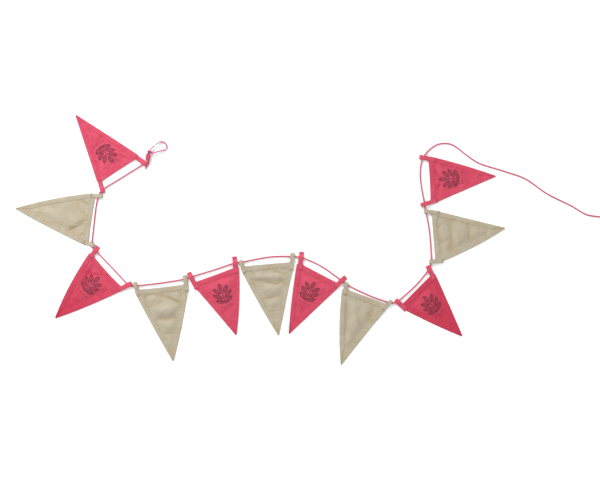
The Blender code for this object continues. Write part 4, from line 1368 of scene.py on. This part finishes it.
class BUNTING_OT_stage(bpy.types.Operator):
    """Lay the floor, set the lights and place the camera"""

    bl_idname = "bunting.stage"
    bl_label = "Stage"

    def execute(self, context):
        stage = context.scene.bunting_stage
        centre = Vector(VIEW_CENTRE) * MM
        bpy.ops.mesh.primitive_plane_add(size=FLOOR_SIZE, location=(*centre, -FLOOR_DROP))
        floor = context.object
        floor.name = "floor"
        look = Shader("pale_floor", Roughness=0.9, Base_Color=(*stage.floor, 1.0))
        floor.data.materials.append(look.material)
        world = bpy.data.worlds.new("studio")
        world.use_nodes = True
        light = world.node_tree.nodes["Background"].inputs
        light[0].default_value = (1.0, 1.0, 1.0, 1.0)
        light[1].default_value = stage.sky
        context.scene.world = world
        target = Vector((*centre, 0.0))
        context.scene.view_settings.view_transform = "Standard"
        key = bpy.data.lights.new("key", "AREA")
        key.shape = "DISK"
        key.size = KEY_SIZE
        key.energy = stage.key
        lamp = bpy.data.objects.new("key", key)
        lamp.location = target + Vector(KEY_FROM)
        lamp.rotation_euler = (target - lamp.location).to_track_quat("-Z", "Y").to_euler()
        context.scene.collection.objects.link(lamp)
        data = bpy.data.cameras.new("camera")
        data.sensor_width = SENSOR
        data.lens = SENSOR * stage.camera_height / VIEW_WIDTH
        data.clip_end = 50.0
        camera = bpy.data.objects.new("camera", data)
        camera.location = target + Vector((0.0, 0.0, stage.camera_height))
        context.scene.collection.objects.link(camera)
        context.scene.camera = camera
        return {"FINISHED"}


class BUNTING_OT_cord(bpy.types.Operator):
    """Lay the cord with its wrapped knots"""

    bl_idname = "bunting.cord"
    bl_label = "Cord and knots"

    def execute(self, context):
        cord = context.scene.bunting_cord
        look = braid_look("braided_cord", cord.colour, cord)
        piece, path, length = make_cord(look)
        knot = wrapped_knot(
            "hook_knot_wraps", "hook_knot", KNOT_LENGTH, KNOT_WIDTH, KNOT_HEIGHT, KNOT_TURNS,
            (*KNOT_CENTRE, KNOT_HEIGHT / 2 + KNOT_OVER_FLOOR), KNOT_HEADING, look)
        others = [knot, make_bight(look), make_stub(look), *make_tail_end(look)]
        return {"FINISHED"}


class BUNTING_OT_pennants(bpy.types.Operator):
    """Lay out the hemmed pennants"""

    bl_idname = "bunting.pennants"
    bl_label = "Pennants"

    def execute(self, context):
        cloth = context.scene.bunting_cloth
        looks = {
            "pink": cloth_look("printed_pink_cloth", "pink", cloth.pink, cloth, cloth.ink),
            "beige": cloth_look("beige_linen", "beige", cloth.beige, cloth),
        }
        for pennant in PENNANTS:
            tabs = [tab for tab in TABS if tab.name[4:6] == pennant.name[-2:]]
            make_pennant(pennant, tabs, cloth.pucker, looks[pennant.cloth])
        return {"FINISHED"}


class BUNTING_OT_tabs(bpy.types.Operator):
    """Fold the tabs round the cord and bar them down"""

    bl_idname = "bunting.tabs"
    bl_label = "Tabs"

    def execute(self, context):
        cloth = context.scene.bunting_cloth
        looks = {}
        for name, colour in (("pink", cloth.pink), ("beige", cloth.beige)):
            looks[name] = [
                tape_look(f"{name}_tape", colour, cloth),
                thread_look(f"{name}_thread", scaled(colour, 0.45)),
            ]
        for seed, tab in enumerate(TABS):
            make_tab(tab, looks[tab.cloth], seed)
        return {"FINISHED"}


class BUNTING_OT_hook(bpy.types.Operator):
    """Make the snap hook with its gate and rivet"""

    bl_idname = "bunting.hook"
    bl_label = "Snap hook"

    def execute(self, context):
        hook = context.scene.bunting_hook
        make_hook({
            "hook": metal_look("pink_anodised_rod", hook.anodised, 0.26),
            "gate": metal_look("bare_gate_metal", hook.bare, 0.22),
        })
        return {"FINISHED"}


class BUNTING_PT_panel(bpy.types.Panel):
    bl_idname = "BUNTING_PT_panel"
    bl_label = "Fabric bunting"
    bl_space_type = "VIEW_3D"
    bl_region_type = "UI"
    bl_category = "Bunting"

    def draw(self, context):
        for group, operators in (
            ("bunting_stage", ("bunting.stage",)),
            ("bunting_cord", ("bunting.cord",)),
            ("bunting_cloth", ("bunting.pennants", "bunting.tabs")),
            ("bunting_hook", ("bunting.hook",)),
        ):
            settings = getattr(context.scene, group)
            box = self.layout.box()
            for name in settings.__annotations__:
                box.prop(settings, name)
            for operator in operators:
                box.operator(operator)


GROUPS = (
    ("bunting_cloth", BuntingCloth), ("bunting_cord", BuntingCord),
    ("bunting_hook", BuntingHook), ("bunting_stage", BuntingStage),
)
OPERATORS = (
    BUNTING_OT_stage, BUNTING_OT_cord, BUNTING_OT_pennants, BUNTING_OT_tabs, BUNTING_OT_hook,
)


def register():
    for name, group in GROUPS:
        bpy.utils.register_class(group)
        setattr(bpy.types.Scene, name, PointerProperty(type=group))
    for kind in (*OPERATORS, BUNTING_PT_panel):
        bpy.utils.register_class(kind)


def unregister():
    for kind in (BUNTING_PT_panel, *reversed(OPERATORS)):
        bpy.utils.unregister_class(kind)
    for name, group in reversed(GROUPS):
        delattr(bpy.types.Scene, name)
        bpy.utils.unregister_class(group)


def main():
    register()
    bpy.ops.bunting.stage()
    bpy.ops.bunting.cord()
    bpy.ops.bunting.pennants()
    bpy.ops.bunting.tabs()
    bpy.ops.bunting.hook()


if __name__ == "__main__":
    main()
